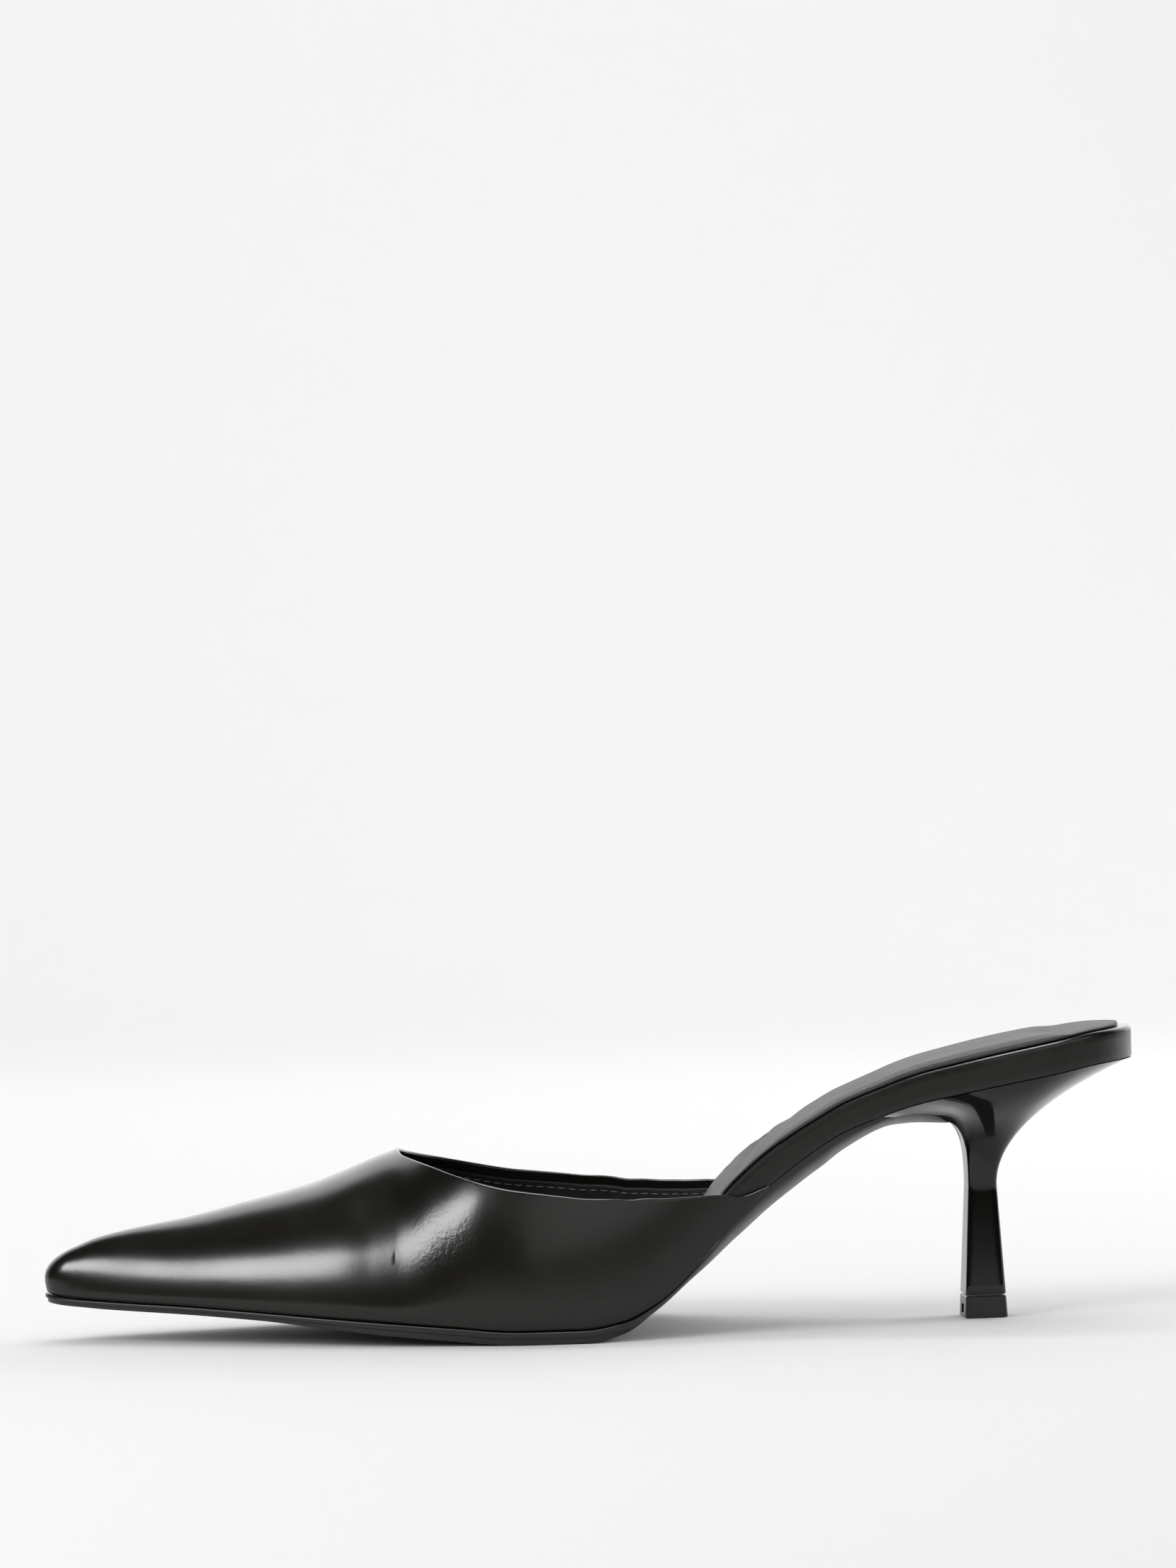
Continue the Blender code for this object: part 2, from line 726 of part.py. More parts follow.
def main():
    """Build the shoe in an empty scene."""
    for thing in list(bpy.data.objects):
        bpy.data.objects.remove(thing, do_unlink=True)
    leather = make_material("black calf leather", (0.010, 0.010, 0.009), 0.28, 0.5)
    sock_leather = make_material("black sock leather", (0.030, 0.029, 0.030), 0.62)
    rubber = make_material("black sole rubber", (0.012, 0.012, 0.012), 0.40)
    lacquer = make_material("black lacquered heel", (0.008, 0.008, 0.008), 0.08, 1.0)
    tip_plastic = make_material("black top piece", (0.012, 0.012, 0.012), 0.30)
    things = [
        build_upper(leather),
        build_board(leather),
        build_sock(sock_leather),
        build_outsole(rubber),
        build_heel(lacquer),
        build_tip(tip_plastic),
    ]
    stand_on_origin(things)


main()
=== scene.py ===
"""Looks of a kitten heel mule: smooth black leather, padded sock, lacquered heel.

Each piece is rebuilt finer over its own solid, from the solids' sizes and tables. A few differ here, as their
comments say. Everything is in metres. The toe points to -X, the outer side faces -Y and the floor is z = 0.
"""

import math

import bmesh
import bpy
import numpy as np
from bpy.props import FloatProperty, FloatVectorProperty, PointerProperty
from mathutils import Matrix, Vector


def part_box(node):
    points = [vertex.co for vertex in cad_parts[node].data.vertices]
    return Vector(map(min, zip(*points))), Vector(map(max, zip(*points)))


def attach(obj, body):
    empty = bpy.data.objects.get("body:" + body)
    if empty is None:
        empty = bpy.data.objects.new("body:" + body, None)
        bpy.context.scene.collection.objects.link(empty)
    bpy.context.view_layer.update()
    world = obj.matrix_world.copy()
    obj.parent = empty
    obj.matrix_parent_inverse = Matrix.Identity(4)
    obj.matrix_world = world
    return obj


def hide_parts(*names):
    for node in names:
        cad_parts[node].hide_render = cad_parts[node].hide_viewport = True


bl_info = {
    "name": "Kitten heel mule",
    "version": (1, 0, 0),
    "blender": (4, 5, 0),
    "location": "View3D > Sidebar > Mule",
    "description": "Builds the leather, sock, sole and heel of a pointed kitten heel mule over its solids",
    "category": "Object",
}

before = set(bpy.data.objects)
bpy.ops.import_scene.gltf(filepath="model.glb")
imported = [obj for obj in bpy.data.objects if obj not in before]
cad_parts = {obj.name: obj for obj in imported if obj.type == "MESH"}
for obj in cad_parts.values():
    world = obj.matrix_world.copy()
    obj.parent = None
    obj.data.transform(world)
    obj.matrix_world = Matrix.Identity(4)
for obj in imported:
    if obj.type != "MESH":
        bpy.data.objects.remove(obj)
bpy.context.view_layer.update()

# Sizes that the solids follow
BOARD_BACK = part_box("insole_board")[1].x
SOLE_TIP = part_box("outsole")[0].x
LENGTH = BOARD_BACK - SOLE_TIP + 0.0001
BALL_WIDTH = 0.0765
SEAT_WIDTH = 0.0505
TOE_LIFT = 0.0071
SEAT_RISE = 0.0551
THROAT_RISE = 0.0345
WALL = 0.0018
WING_WALL = 0.0011
SIDE_BULGE = 0.0012
THROAT_STATION = 0.327
WING_STATION = 0.661
BOARD_THICKNESS = 0.0020
RAND_HEIGHT = 0.0072
EDGE_ROUNDING = 0.0011
SOCK_CROWN = 0.0008
SOCK_INSET = 0.0008
SOCK_HEEL_INSET = 0.0030
SOLE_THICKNESS = 0.0028
SOLE_RIM = 0.0005
SOLE_STEP = 0.0005
WAIST_INSET = 0.0008
STEM_STATION = 0.859
STEM_DEPTH_FOOT = 0.0098
STEM_DEPTH_NECK = 0.0066
STEM_WIDTH_FOOT = 0.0106
STEM_WIDTH_NECK = 0.0082
STEM_CORNER = 0.0009
HEEL_SWING = math.radians(4.0)
NECK_HEIGHT = 0.0300
WING_FRONT_STATION = 0.766
TAIL_STATION = 0.8315
TIP_HEIGHT = 0.0053
NOTCH_WIDTH = 0.0035
NOTCH_HEIGHT = 0.0020
NOTCH_DEPTH = 0.0010
NOTCH_FLOOR = 0.0010
FIT = 0.0003
POLE_STATION = 0.0304
SEAT_STATION = 0.904
TAIL_START_STATION = 0.7376
POLE = POLE_STATION * LENGTH
THROAT = THROAT_STATION * LENGTH
SEAT = SEAT_STATION * LENGTH
QUARTER = math.pi / 2

# Sizes that differ from the solids': a thinner edge round the sock, a deeper cup under the seat
SOCK_EDGE = 0.0006
CUP_LEAD = 0.99
CUP_DROP = 0.68

# Sizes of what the solids leave out: shares, stations and lengths
EDGE_BREAK = 0.25
THROAT_FALL = 1.1
FOLD_ROLL = 0.0005
FULL_LINING_WALL = 0.0014
FEATHER_HEIGHT = 0.0014
GLUE_LINE = 0.00005
CREST_GAP = 0.00001
LEAST_WING = 0.00015
THREAD_RADIUS = 0.00016
FLEX_STATION = 0.370
FLEX_HEIGHT = 0.0215
FLEX_REACH = 0.012
SEAM_STATION = 0.944
SEAM_BOW = 0.0056
SEAM_WIDTH = 0.0004
SEAM_DEPTH = 0.0003

# Counts of points along an outline's toe, side and back, of ribs and of the points on a rib
OUTLINE_STEPS = (14, 190, 22)
FRONT_RIBS = 70
TOE_RIBS = 18
RIB_ROWS = 26

OUTER = -1
INNER = 1

# Half widths of the last's bottom: station, outer side, inner side, shares of the ball width
FOREPART_WIDTHS = (
    (0.0304, 0.062, 0.06),
    (0.05, 0.09, 0.084),
    (0.1, 0.162, 0.149),
    (0.2, 0.299, 0.28),
    (0.3, 0.41, 0.391),
    (0.38, 0.463, 0.45),
    (0.45, 0.489, 0.456),
    (0.5, 0.482, 0.426),
    (0.56, 0.425, 0.345),
    (0.62, 0.347, 0.262),
)

# Half widths behind the waist: station, outer side, inner side, shares of the seat width
SEAT_WIDTHS = (
    (0.68, 0.455, 0.33),
    (0.74, 0.445, 0.35),
    (0.8, 0.465, 0.42),
    (0.87, 0.5, 0.488),
    (0.904, 0.5, 0.5),
)

# Line of the last's bottom: station, share of the toe's lift, share of the seat's rise
BOTTOM_LINE = (
    (0.0, 1.15, 0.0),
    (0.01, 1.045, 0.0),
    (0.03, 0.975, 0.0),
    (0.15, 0.76, 0.0),
    (0.264, 0.465, 0.0),
    (0.375, 0.155, 0.0),
    (0.435, 0.0, 0.0),
    (0.49, 0.0, 0.0),
    (0.529, 0.0, 0.025),
    (0.556, 0.0, 0.083),
    (0.584, 0.0, 0.178),
    (0.607, 0.0, 0.281),
    (0.627, 0.0, 0.388),
    (0.642, 0.0, 0.452),
    (0.661, 0.0, 0.528),
    (0.685, 0.0, 0.609),
    (0.71, 0.0, 0.686),
    (0.732, 0.0, 0.742),
    (0.768, 0.0, 0.802),
    (0.785, 0.0, 0.828),
    (0.805, 0.0, 0.852),
    (0.829, 0.0, 0.874),
    (0.863, 0.0, 0.904),
    (0.92, 0.0, 0.95),
    (0.962, 0.0, 0.984),
    (1.0, 0.0, 1.0),
)

# Crest of the last over its bottom: station, share of the throat's rise, fullness of the section, which
# differs a little from the solids' because the leather's shine follows it
CREST = (
    (0.0, 0.155, 3.0),
    (0.01, 0.2, 2.85),
    (0.0304, 0.272, 2.4),
    (0.05, 0.336, 2.05),
    (0.077, 0.392, 1.97),
    (0.134, 0.485, 2.01),
    (0.19, 0.605, 2.05),
    (0.249, 0.745, 2.07),
    (0.279, 0.84, 2.02),
    (0.308, 0.94, 1.93),
    (0.327, 1.0, 1.94),
    (0.365, 1.16, 2.2),
    (0.405, 1.32, 2.45),
    (0.45, 1.48, 2.35),
    (0.507, 1.62, 2.35),
    (0.568, 1.61, 2.35),
    (0.629, 1.46, 2.35),
    (0.67, 1.4, 2.35),
)

# Top edge behind the throat: station, then shares of the throat's rise on the outer and the inner side
TOP_EDGE = (
    (0.327, 1.0, 1.0),
    (0.352, 0.975, 0.958),
    (0.384, 0.927, 0.918),
    (0.417, 0.888, 0.89),
    (0.448, 0.859, 0.868),
    (0.48, 0.832, 0.846),
    (0.511, 0.801, 0.818),
    (0.543, 0.728, 0.732),
    (0.574, 0.583, 0.583),
    (0.606, 0.374, 0.372),
    (0.638, 0.105, 0.105),
    (0.661, 0.014, 0.014),
)

# Height of the board's side: station, share of the way from the bare board to the full rand
RAND = (
    (0.0, 0.0),
    (0.49, 0.0),
    (0.54, 0.15),
    (0.58, 0.67),
    (0.62, 1.21),
    (0.64, 1.16),
    (0.663, 1.06),
    (0.69, 0.92),
    (0.713, 0.82),
    (0.739, 0.79),
    (0.762, 0.815),
    (0.786, 0.85),
    (0.824, 0.91),
    (0.864, 0.955),
    (0.936, 1.0),
    (1.0, 0.96),
)

# Outsole: station, share of its thickness, how far it has turned from a flat tread to a rounded waist
SOLE_BODY = (
    (0.0, 0.7, 0.0),
    (0.01, 0.56, 0.0),
    (0.03, 0.56, 0.0),
    (0.06, 0.6, 0.0),
    (0.2, 0.6, 0.0),
    (0.264, 0.8, 0.0),
    (0.32, 0.96, 0.0),
    (0.375, 1.0, 0.0),
    (0.5, 1.0, 0.0),
    (0.529, 0.95, 0.1),
    (0.556, 0.72, 0.3),
    (0.584, 0.83, 0.6),
    (0.607, 1.4, 0.85),
    (0.627, 2.05, 1.0),
    (0.642, 2.2, 1.0),
    (0.661, 2.25, 1.0),
    (0.71, 2.15, 1.0),
    (0.732, 1.8, 1.0),
    (0.768, 1.29, 1.0),
    (0.79, 1.64, 1.0),
    (0.823, 2.39, 1.0),
    (0.84, 2.75, 1.0),
)

# Crown of the sock: station, share of its crown, share of its edge height
SOCK_BODY = (
    (0.0, 0.0, 0.45),
    (0.15, 0.1, 0.8),
    (0.45, 0.35, 1.0),
    (0.64, 0.45, 0.9),
    (0.74, 0.55, 0.9),
    (0.82, 0.95, 1.0),
    (0.88, 1.0, 1.0),
    (0.925, 0.75, 0.9),
    (0.942, 0.0, 0.5),
    (1.0, 0.0, 0.5),
)

# How much of the last's side bulge the pulled leather shows: station, share
SIDE_SWELL = (
    (0.0, 0.1),
    (0.2, 0.1),
    (0.33, 0.5),
    (0.45, 1.0),
    (1.0, 1.0),
)

# Bends of the sock over the arch: stations at the outer edge and in the middle, depth and half width
SOCK_BENDS = (
    (0.609, 0.619, 0.0009, 0.0014),
    (0.631, 0.649, 0.001, 0.0016),
    (0.656, 0.674, 0.00045, 0.0022),
)

# Outsole's edge in the forepart: share of its thickness down from the top, inset in steps
SOLE_PROFILE = (
    (0.0, 0.35),
    (0.03, 0.1),
    (0.09, 0.0),
    (0.33, 0.0),
    (0.42, 0.08),
    (0.46, 0.35),
    (0.48, 0.9),
    (0.53, 1.05),
    (0.8, 1.0),
    (0.93, 1.15),
    (0.99, 1.5),
    (1.0, 2.2),
    (1.0, 6.0),
)

# Sweep of the flare: how far its first handle climbs, how far its second leads and how far that one drops
FLARE_BACK = (0.39, 0.47, 0.25)
FLARE_BREAST = (1.02, 0.06, 0.08)

# Paper sweep: half width, front edge, start and radius of its bend, top
SWEEP_HALF_WIDTH = 4.0
SWEEP_FRONT = -3.0
SWEEP_BEND = 1.2
SWEEP_RADIUS = 0.8
SWEEP_TOP = 2.1

# Lamps: name, place, aim, width, height, watts, whether it shines in the leather or only lights the paper
LAMPS = (
    ("left_box", (-0.88, -0.69, 0.765), (0.0, 0.0, 0.02), 0.48, 0.46, 14.4, True),
    ("overhead_box", (0.0, 0.0, 2.0), (0.0, 0.0, 0.0), 0.9, 0.9, 40.0, True),
    ("front_card", (0.78, -1.17, 0.78), (0.0, 0.0, 0.02), 2.5, 1.2, 10.4, True),
    ("back_card", (0.0, 1.1, 0.55), (0.0, 0.0, 0.05), 2.4, 1.0, 8.0, True),
    ("left_fill", (-0.92, -0.69, 0.66), (0.0, 0.0, 0.02), 0.8, 0.8, 7.5, False),
    ("right_fill", (1.25, 0.60, 0.40), (0.0, 0.0, 0.02), 0.8, 0.5, 8.0, False),
    ("backdrop_fill", (0.0, 0.9, 2.2), (0.0, 2.0, 0.5), 2.6, 0.8, 19.0, False),
)
ROOM_LIGHT = 0.505

# Camera: place from the toe's tip, turn to the side and tilt in degrees, lens and sensor in millimetres
CAMERA_PLACE = (0.118995, -1.25, 0.1225)
CAMERA_YAW = 0.3
CAMERA_ROLL = 1.5
CAMERA_LENS = 127.06
CAMERA_SENSOR = 36.0
CAMERA_REACH = 20.0


class Curve:
    """A smooth curve through one column of a table, which never overshoots the table's points."""

    def __init__(self, rows, index, size=1.0):
        self.run_through([row[0] * LENGTH for row in rows], [row[index] * size for row in rows])

    def run_through(self, x, y):
        self.x = x
        self.y = y
        steps = [(b - a) / (d - c) for a, b, c, d in zip(y, y[1:], x, x[1:])]
        inside = [0.0 if p * q <= 0.0 else 2.0 * p * q / (p + q) for p, q in zip(steps, steps[1:])]
        self.slope = [steps[0], *inside, steps[-1]]

    def followed_by(self, other):
        """Run on through the points of another curve."""
        self.run_through(self.x + other.x, self.y + other.y)
        return self

    def __call__(self, x):
        x = min(max(x, self.x[0]), self.x[-1])
        k = min(max(int(np.searchsorted(self.x, x)) - 1, 0), len(self.x) - 2)
        span = self.x[k + 1] - self.x[k]
        t = (x - self.x[k]) / span
        rise = t * t * (3 - 2 * t)
        lean = t * (1 - t) * ((1 - t) * self.slope[k] - t * self.slope[k + 1]) * span
        return self.y[k] + (self.y[k + 1] - self.y[k]) * rise + lean


HALF = {
    side: Curve(FOREPART_WIDTHS, column, BALL_WIDTH).followed_by(Curve(SEAT_WIDTHS, column, SEAT_WIDTH))
    for side, column in ((OUTER, 1), (INNER, 2))
}
EDGE_RISE = {OUTER: Curve(TOP_EDGE, 1, THROAT_RISE), INNER: Curve(TOP_EDGE, 2, THROAT_RISE)}
TOE_DROP = Curve(BOTTOM_LINE, 1, TOE_LIFT)
SEAT_CLIMB = Curve(BOTTOM_LINE, 2, SEAT_RISE)
SOLE_DEPTH = Curve(SOLE_BODY, 1, SOLE_THICKNESS)
SOLE_TURN = Curve(SOLE_BODY, 2)
RAND_GROWTH = Curve(RAND, 1, RAND_HEIGHT - BOARD_THICKNESS)
CREST_RISE = Curve(CREST, 1, THROAT_RISE)
FULLNESS = Curve(CREST, 2)
SOCK_SWELL = Curve(SOCK_BODY, 1)
SOCK_SIDE = Curve(SOCK_BODY, 2, SOCK_EDGE)
SWELL = Curve(SIDE_SWELL, 1)
TOE_TIP = WALL + FIT + SIDE_BULGE / 2


def bottom(x):
    """Height of the outsole's top, which the last's bottom follows."""
    return SOLE_THICKNESS + TOE_DROP(x) + SEAT_CLIMB(x)


def tread(x):
    """Height of the outsole's underside along its middle."""
    return bottom(x) - SOLE_DEPTH(x)


def board_top(x):
    """Height of the board's rim."""
    return bottom(x) + FIT + BOARD_THICKNESS + RAND_GROWTH(x)


def crest(x):
    """Height of the lining along the top of the last."""
    return bottom(x) + FIT + CREST_RISE(x)


def half(side, x):
    """Half width of the last's bottom."""
    return HALF[side](x)


def sole_half(side, x):
    """Half width of the outsole."""
    waist = SOLE_TURN(x)
    return half(side, x) + (WALL + FIT + SOLE_RIM) * (1 - waist) - WAIST_INSET * waist


def lining_half(side, x):
    """Half width of the lining at its foot."""
    return half(side, x) + FIT


def wall_at(x):
    """Thickness of the upper, thinned towards the ends of its wings."""
    share = (x / LENGTH - THROAT_STATION) / (WING_STATION - THROAT_STATION)
    return WALL + (WING_WALL - WALL) * min(max(share, 0.0), 1.0)


def eased(value, start, end):
    """Rise from 0 to 1 between two values, level at both."""
    t = min(max((value - start) / (end - start), 0.0), 1.0)
    return t * t * (3 - 2 * t)


# The tables count from the toe's tip and the last's middle: this is where that point lies in the frame.
WIDEST = max(sole_half(OUTER, LENGTH * k / 400) for k in range(160, 240))
TOE_AT = Vector((BOARD_BACK - LENGTH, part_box("outsole")[0].y + WIDEST, 0.0))


def toe_radius(side, width, tip, turn):
    """Distance from the toe's pole to its outline, from the side (turn 0) to the tip (turn 1)."""
    reach = LENGTH * 0.004
    at_side = width(side, POLE)
    spread = (width(side, POLE + reach) - at_side) / reach
    start = (1 + 2 * turn) * (1 - turn) ** 2 * at_side
    leave = -turn * (1 - turn) ** 2 * QUARTER * spread * at_side
    return start + leave + turn * turn * (3 - 2 * turn) * (POLE - tip)


def side_of_outline(side, width, tip, back_start, back_end):
    """Plan points along one side of an outline, from the toe's tip to just before the back."""
    toe_steps, side_steps, back_steps = OUTLINE_STEPS
    points = []
    for step in range(toe_steps):
        turn = 1 - step / toe_steps
        angle = QUARTER * (1 + turn)
        radius = toe_radius(side, width, tip, turn)
        points.append((POLE + radius * math.cos(angle), side * radius * math.sin(angle)))
    for step in range(side_steps):
        x = POLE + (back_start - POLE) * step / side_steps
        points.append((x, side * width(side, x)))
    for step in range(back_steps):
        angle = QUARTER * step / back_steps
        x = back_start + (back_end - back_start) * math.sin(angle)
        points.append((x, side * width(side, back_start) * math.cos(angle)))
    return points


def outline(width, tip, back_start, back_end):
    """Closed plan outline: tip, outer side, back, inner side."""
    there = side_of_outline(OUTER, width, tip, back_start, back_end)
    back = side_of_outline(INNER, width, tip, back_start, back_end)
    return np.array(there + [(back_end, 0.0)] + back[:0:-1])


def sole_outline():
    """Plan outline of the outsole, with its tail under the seat."""
    tip = TOE_TIP - WALL - FIT - SOLE_RIM
    return outline(sole_half, tip, TAIL_START_STATION * LENGTH, TAIL_STATION * LENGTH)


def unit(rows):
    """Rows of directions, each one unit long."""
    return rows / np.maximum(np.linalg.norm(rows, axis=1, keepdims=True), 1e-12)


def pushed(loop, distance):
    """The outline moved outward, square to itself, by a distance that may change along x."""
    along = np.roll(loop, -1, axis=0) - np.roll(loop, 1, axis=0)
    outward = unit(np.stack([along[:, 1], -along[:, 0]], axis=1))
    if callable(distance):
        distance = np.array([distance(x) for x in loop[:, 0]])[:, None]
    return loop + outward * distance


def draped(loop, height):
    """A plan outline laid on a height that changes along x."""
    return np.column_stack([loop, [height(x) for x in loop[:, 0]]])


def ladder(base, count):
    """Faces that close a ring of points, from its outer side to its inner side."""
    faces = []
    for k in range(count // 2):
        rung = (base + k, base + k + 1, base + (count - k - 1) % count, base + (count - k) % count)
        faces.append(tuple(dict.fromkeys(rung)))
    return faces


def placed(name, data):
    """A new object in the scene."""
    thing = bpy.data.objects.new(name, data)
    bpy.context.scene.collection.objects.link(thing)
    return thing


def mesh_piece(name, points, faces, material, sharp=40.0):
    """A piece of the shoe from points that count from the toe, smooth except past an angle."""
    points = np.asarray(points, float)
    mesh = bpy.data.meshes.new(name)
    mesh.from_pydata((points + np.array(TOE_AT)).tolist(), [], [list(face) for face in faces])
    mesh.validate()
    bm = bmesh.new()
    bm.from_mesh(mesh)
    bmesh.ops.remove_doubles(bm, verts=bm.verts, dist=1e-7)
    bmesh.ops.recalc_face_normals(bm, faces=bm.faces)
    bm.to_mesh(mesh)
    bm.free()
    mesh.shade_smooth()
    mesh.set_sharp_from_angle(angle=math.radians(sharp))
    mesh.materials.append(material)
    return placed(name, mesh)


def ringed(rings):
    """Points and faces of a closed solid from a stack of rings."""
    count = len(rings[0])
    faces = []
    for level in range(len(rings) - 1):
        for k in range(count):
            a, b = level * count + k, level * count + (k + 1) % count
            faces.append((a, b, b + count, a + count))
    faces += ladder(0, count) + ladder((len(rings) - 1) * count, count)
    return np.concatenate(rings), faces


def dressed(piece, slot, *nodes):
    """Put a piece on the root body and hide the solids that it stands for. The slot is not used."""
    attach(piece, "root")
    if nodes:
        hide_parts(*nodes)


def rib(foot, top, outward, edge_height, swell):
    """Points of the last's surface from its foot to the crest, or crowded under an edge that is lower."""
    fullness = 2.0 / FULLNESS(foot[0])
    floor = bottom(foot[0]) + FIT
    last_angle = QUARTER
    if edge_height is not None:
        share = (edge_height - floor) / (crest(foot[0]) - floor)
        last_angle = math.asin(min(max(share, 0.0), 1.0) ** (1.0 / fullness))
    spare = QUARTER - last_angle
    power = max(1.0, min(4.0, 0.9 * QUARTER / max(spare, 1e-6)))
    points = []
    for row in range(RIB_ROWS + 1):
        way = row / RIB_ROWS
        angle = QUARTER * way - spare * way ** power
        across = max(math.cos(angle), 0.0) ** fullness
        if row == RIB_ROWS and edge_height is None:
            across = 0.0
        bulge = SIDE_BULGE * swell * math.sin(2 * angle)
        x = top[0] + (foot[0] - top[0]) * across + outward[0] * bulge
        y = top[1] + (foot[1] - top[1]) * across + outward[1] * bulge
        points.append((x, y, floor + (crest(x) - floor) * math.sin(angle) ** fullness))
    return points


class Skin:
    """The last's surface as a welded grid of ribs, with the frame of its open top edge."""

    def __init__(self, edges, throat):
        outer = self.side(OUTER, edges[OUTER], throat)
        inner = self.side(INNER, edges[INNER], throat)
        self.points, self.grid = self.weld(outer[::-1] + self.toe() + inner)
        self.faces = self.quads()
        self.normals = self.vertex_normals()
        wings = len(edges[OUTER])
        self.edge = [row[-1] for row in self.grid[:wings]] + [row[-1] for row in self.grid[-wings + 1:]]
        self.out = self.edge_directions()

    @staticmethod
    def side(side, edge, throat):
        stations = [(POLE + (throat - POLE) * k / FRONT_RIBS, None) for k in range(FRONT_RIBS + 1)]
        stations += list(edge[1:])
        ribs = []
        for x, height in stations:
            foot = (x, side * lining_half(side, x))
            ribs.append(rib(foot, (x, 0.0), (0.0, side), height, SWELL(x)))
        return ribs

    @staticmethod
    def toe():
        pole = (POLE, 0.0)
        at_pole = SWELL(pole[0])
        fans = {OUTER: [], INNER: []}
        for side in (OUTER, INNER):
            for step in range(1, TOE_RIBS + 1):
                turn = step / TOE_RIBS
                angle = QUARTER * (1 + turn)
                outward = (math.cos(angle), side * math.sin(angle))
                radius = toe_radius(side, lining_half, TOE_TIP - FIT, turn)
                foot = (pole[0] + outward[0] * radius, outward[1] * radius)
                fans[side].append(rib(foot, pole, outward, None, at_pole + (1 - at_pole) * turn))
        return fans[OUTER] + fans[INNER][-2::-1]

    @staticmethod
    def weld(ribs):
        places = {}
        points = []
        grid = []
        for line in ribs:
            row = []
            for point in line:
                key = tuple(round(value * 1e6) for value in point)
                if key not in places:
                    places[key] = len(points)
                    points.append(point)
                row.append(places[key])
            grid.append(row)
        return np.array(points), grid

    def quads(self):
        faces = []
        for here, there in zip(self.grid, self.grid[1:]):
            for k in range(len(here) - 1):
                face = tuple(dict.fromkeys((here[k], there[k], there[k + 1], here[k + 1])))
                if len(face) > 2:
                    faces.append(face)
        return faces

    def vertex_normals(self):
        normals = np.zeros_like(self.points)
        for face in self.faces:
            corners = self.points[list(face)]
            normals[list(face)] += np.cross(corners[2] - corners[0], corners[-1] - corners[1])
        normals = unit(normals)
        # The highest point of the middle line faces up.
        crown = int(np.argmax(self.points[:, 2] - np.abs(self.points[:, 1]) * 50 - self.points[:, 0] * 0.01))
        return normals if normals[crown][2] > 0 else -normals

    def edge_directions(self):
        """For each point of the top edge, the way that leaves the surface, square to the edge."""
        places = self.points[self.edge]
        along = np.gradient(places, axis=0)
        out = unit(np.cross(along, self.normals[self.edge]))
        middle = len(self.edge) // 4
        inward = places[middle] - self.points[self.grid[middle][-2]]
        return out if np.dot(out[middle], inward) > 0 else -out


def edge_curve(side, drop, ahead, count):
    """Places (x, height) of a line a drop under the top edge, from the throat to the wing's end.

    It leaves the crest no faster than THROAT_FALL, so that it crosses the middle without a corner.
    """
    behind = (WING_STATION - THROAT_STATION) * LENGTH
    places = []
    for k in range(count + 1):
        way = k / count
        x = THROAT - ahead + (behind + ahead) * way * way * (3 - way) / 2
        floor = bottom(x) + FIT
        height = floor + EDGE_RISE[side](x) - drop
        if k:
            height = min(height, crest(x) - CREST_GAP)
        height = max(height, crest(x) - THROAT_FALL * (x - THROAT + ahead))
        places.append((x, max(height, floor + LEAST_WING)))
    return places


def skin_under(drop, ahead, count):
    """The last's surface up to a line that runs a drop under the top edge and starts ahead of the throat."""
    edges = {side: edge_curve(side, drop, ahead, count) for side in (OUTER, INNER)}
    return Skin(edges, THROAT - ahead)


def shell(skin, inside, outside, roll_steps, tuck=0.0):
    """Closed shell between two distances from a skin, with a rolled top edge and a foot tucked in."""
    base = skin.points
    normals = skin.normals.copy()
    floor = np.array([bottom(x) + FIT for x in base[:, 0]])
    lift = base[:, 2] - floor
    feet = sorted({row[0] for row in skin.grid})
    for k in feet:
        flat = np.array([normals[k][0], normals[k][1], 0.0])
        normals[k] = flat / max(np.linalg.norm(flat), 1e-9)
    inner = np.array([inside(x) for x in base[:, 0]])[:, None]
    outer = np.array([outside(x) for x in base[:, 0]])[:, None]
    if tuck:
        short = np.clip(1 - lift / FEATHER_HEIGHT, 0, 1)
        outer = outer - (tuck * (1 - np.sqrt(1 - short ** 2)))[:, None]
    low = base + normals * inner
    high = base + normals * outer
    for k in feet:
        for layer in (low, high):
            layer[k][2] = bottom(layer[k][0]) + FIT
    count = len(base)
    points = [low, high]
    faces = list(skin.faces)
    faces += [tuple(k + count for k in face)[::-1] for face in skin.faces]
    total = 2 * count
    edge = skin.edge
    rims = [[k + count for k in edge]]
    middle = (low[edge] + high[edge]) / 2
    reach = (high[edge] - low[edge]) / 2
    radius = np.linalg.norm(reach, axis=1, keepdims=True)
    for step in range(1, roll_steps):
        angle = math.pi * step / roll_steps
        points.append(middle + reach * math.cos(angle) + skin.out * radius * math.sin(angle))
        rims.append(list(range(total, total + len(edge))))
        total += len(edge)
    rims.append(list(edge))
    for here, there in zip(rims, rims[1:]):
        for k in range(len(edge) - 1):
            faces.append((here[k], here[k + 1], there[k + 1], there[k]))
    foot = [row[0] for row in skin.grid]
    for a, b in zip(foot, foot[1:]):
        if a != b:
            faces.append((a, b, b + count, a + count))
    for row, way in ((skin.grid[0], 1), (skin.grid[-1], -1)):
        for a, b in zip(row, row[1:]):
            faces.append((a, b, b + count, a + count)[::way])
    for end in (0, -1):
        faces.append(tuple(rim[end] for rim in rims))
    return np.concatenate(points), faces


def linear(code):
    """An sRGB hex colour as linear RGBA."""
    values = [int(code[k:k + 2], 16) / 255 for k in (1, 3, 5)]
    return tuple(v / 12.92 if v <= 0.04045 else ((v + 0.055) / 1.055) ** 2.4 for v in values) + (1.0,)


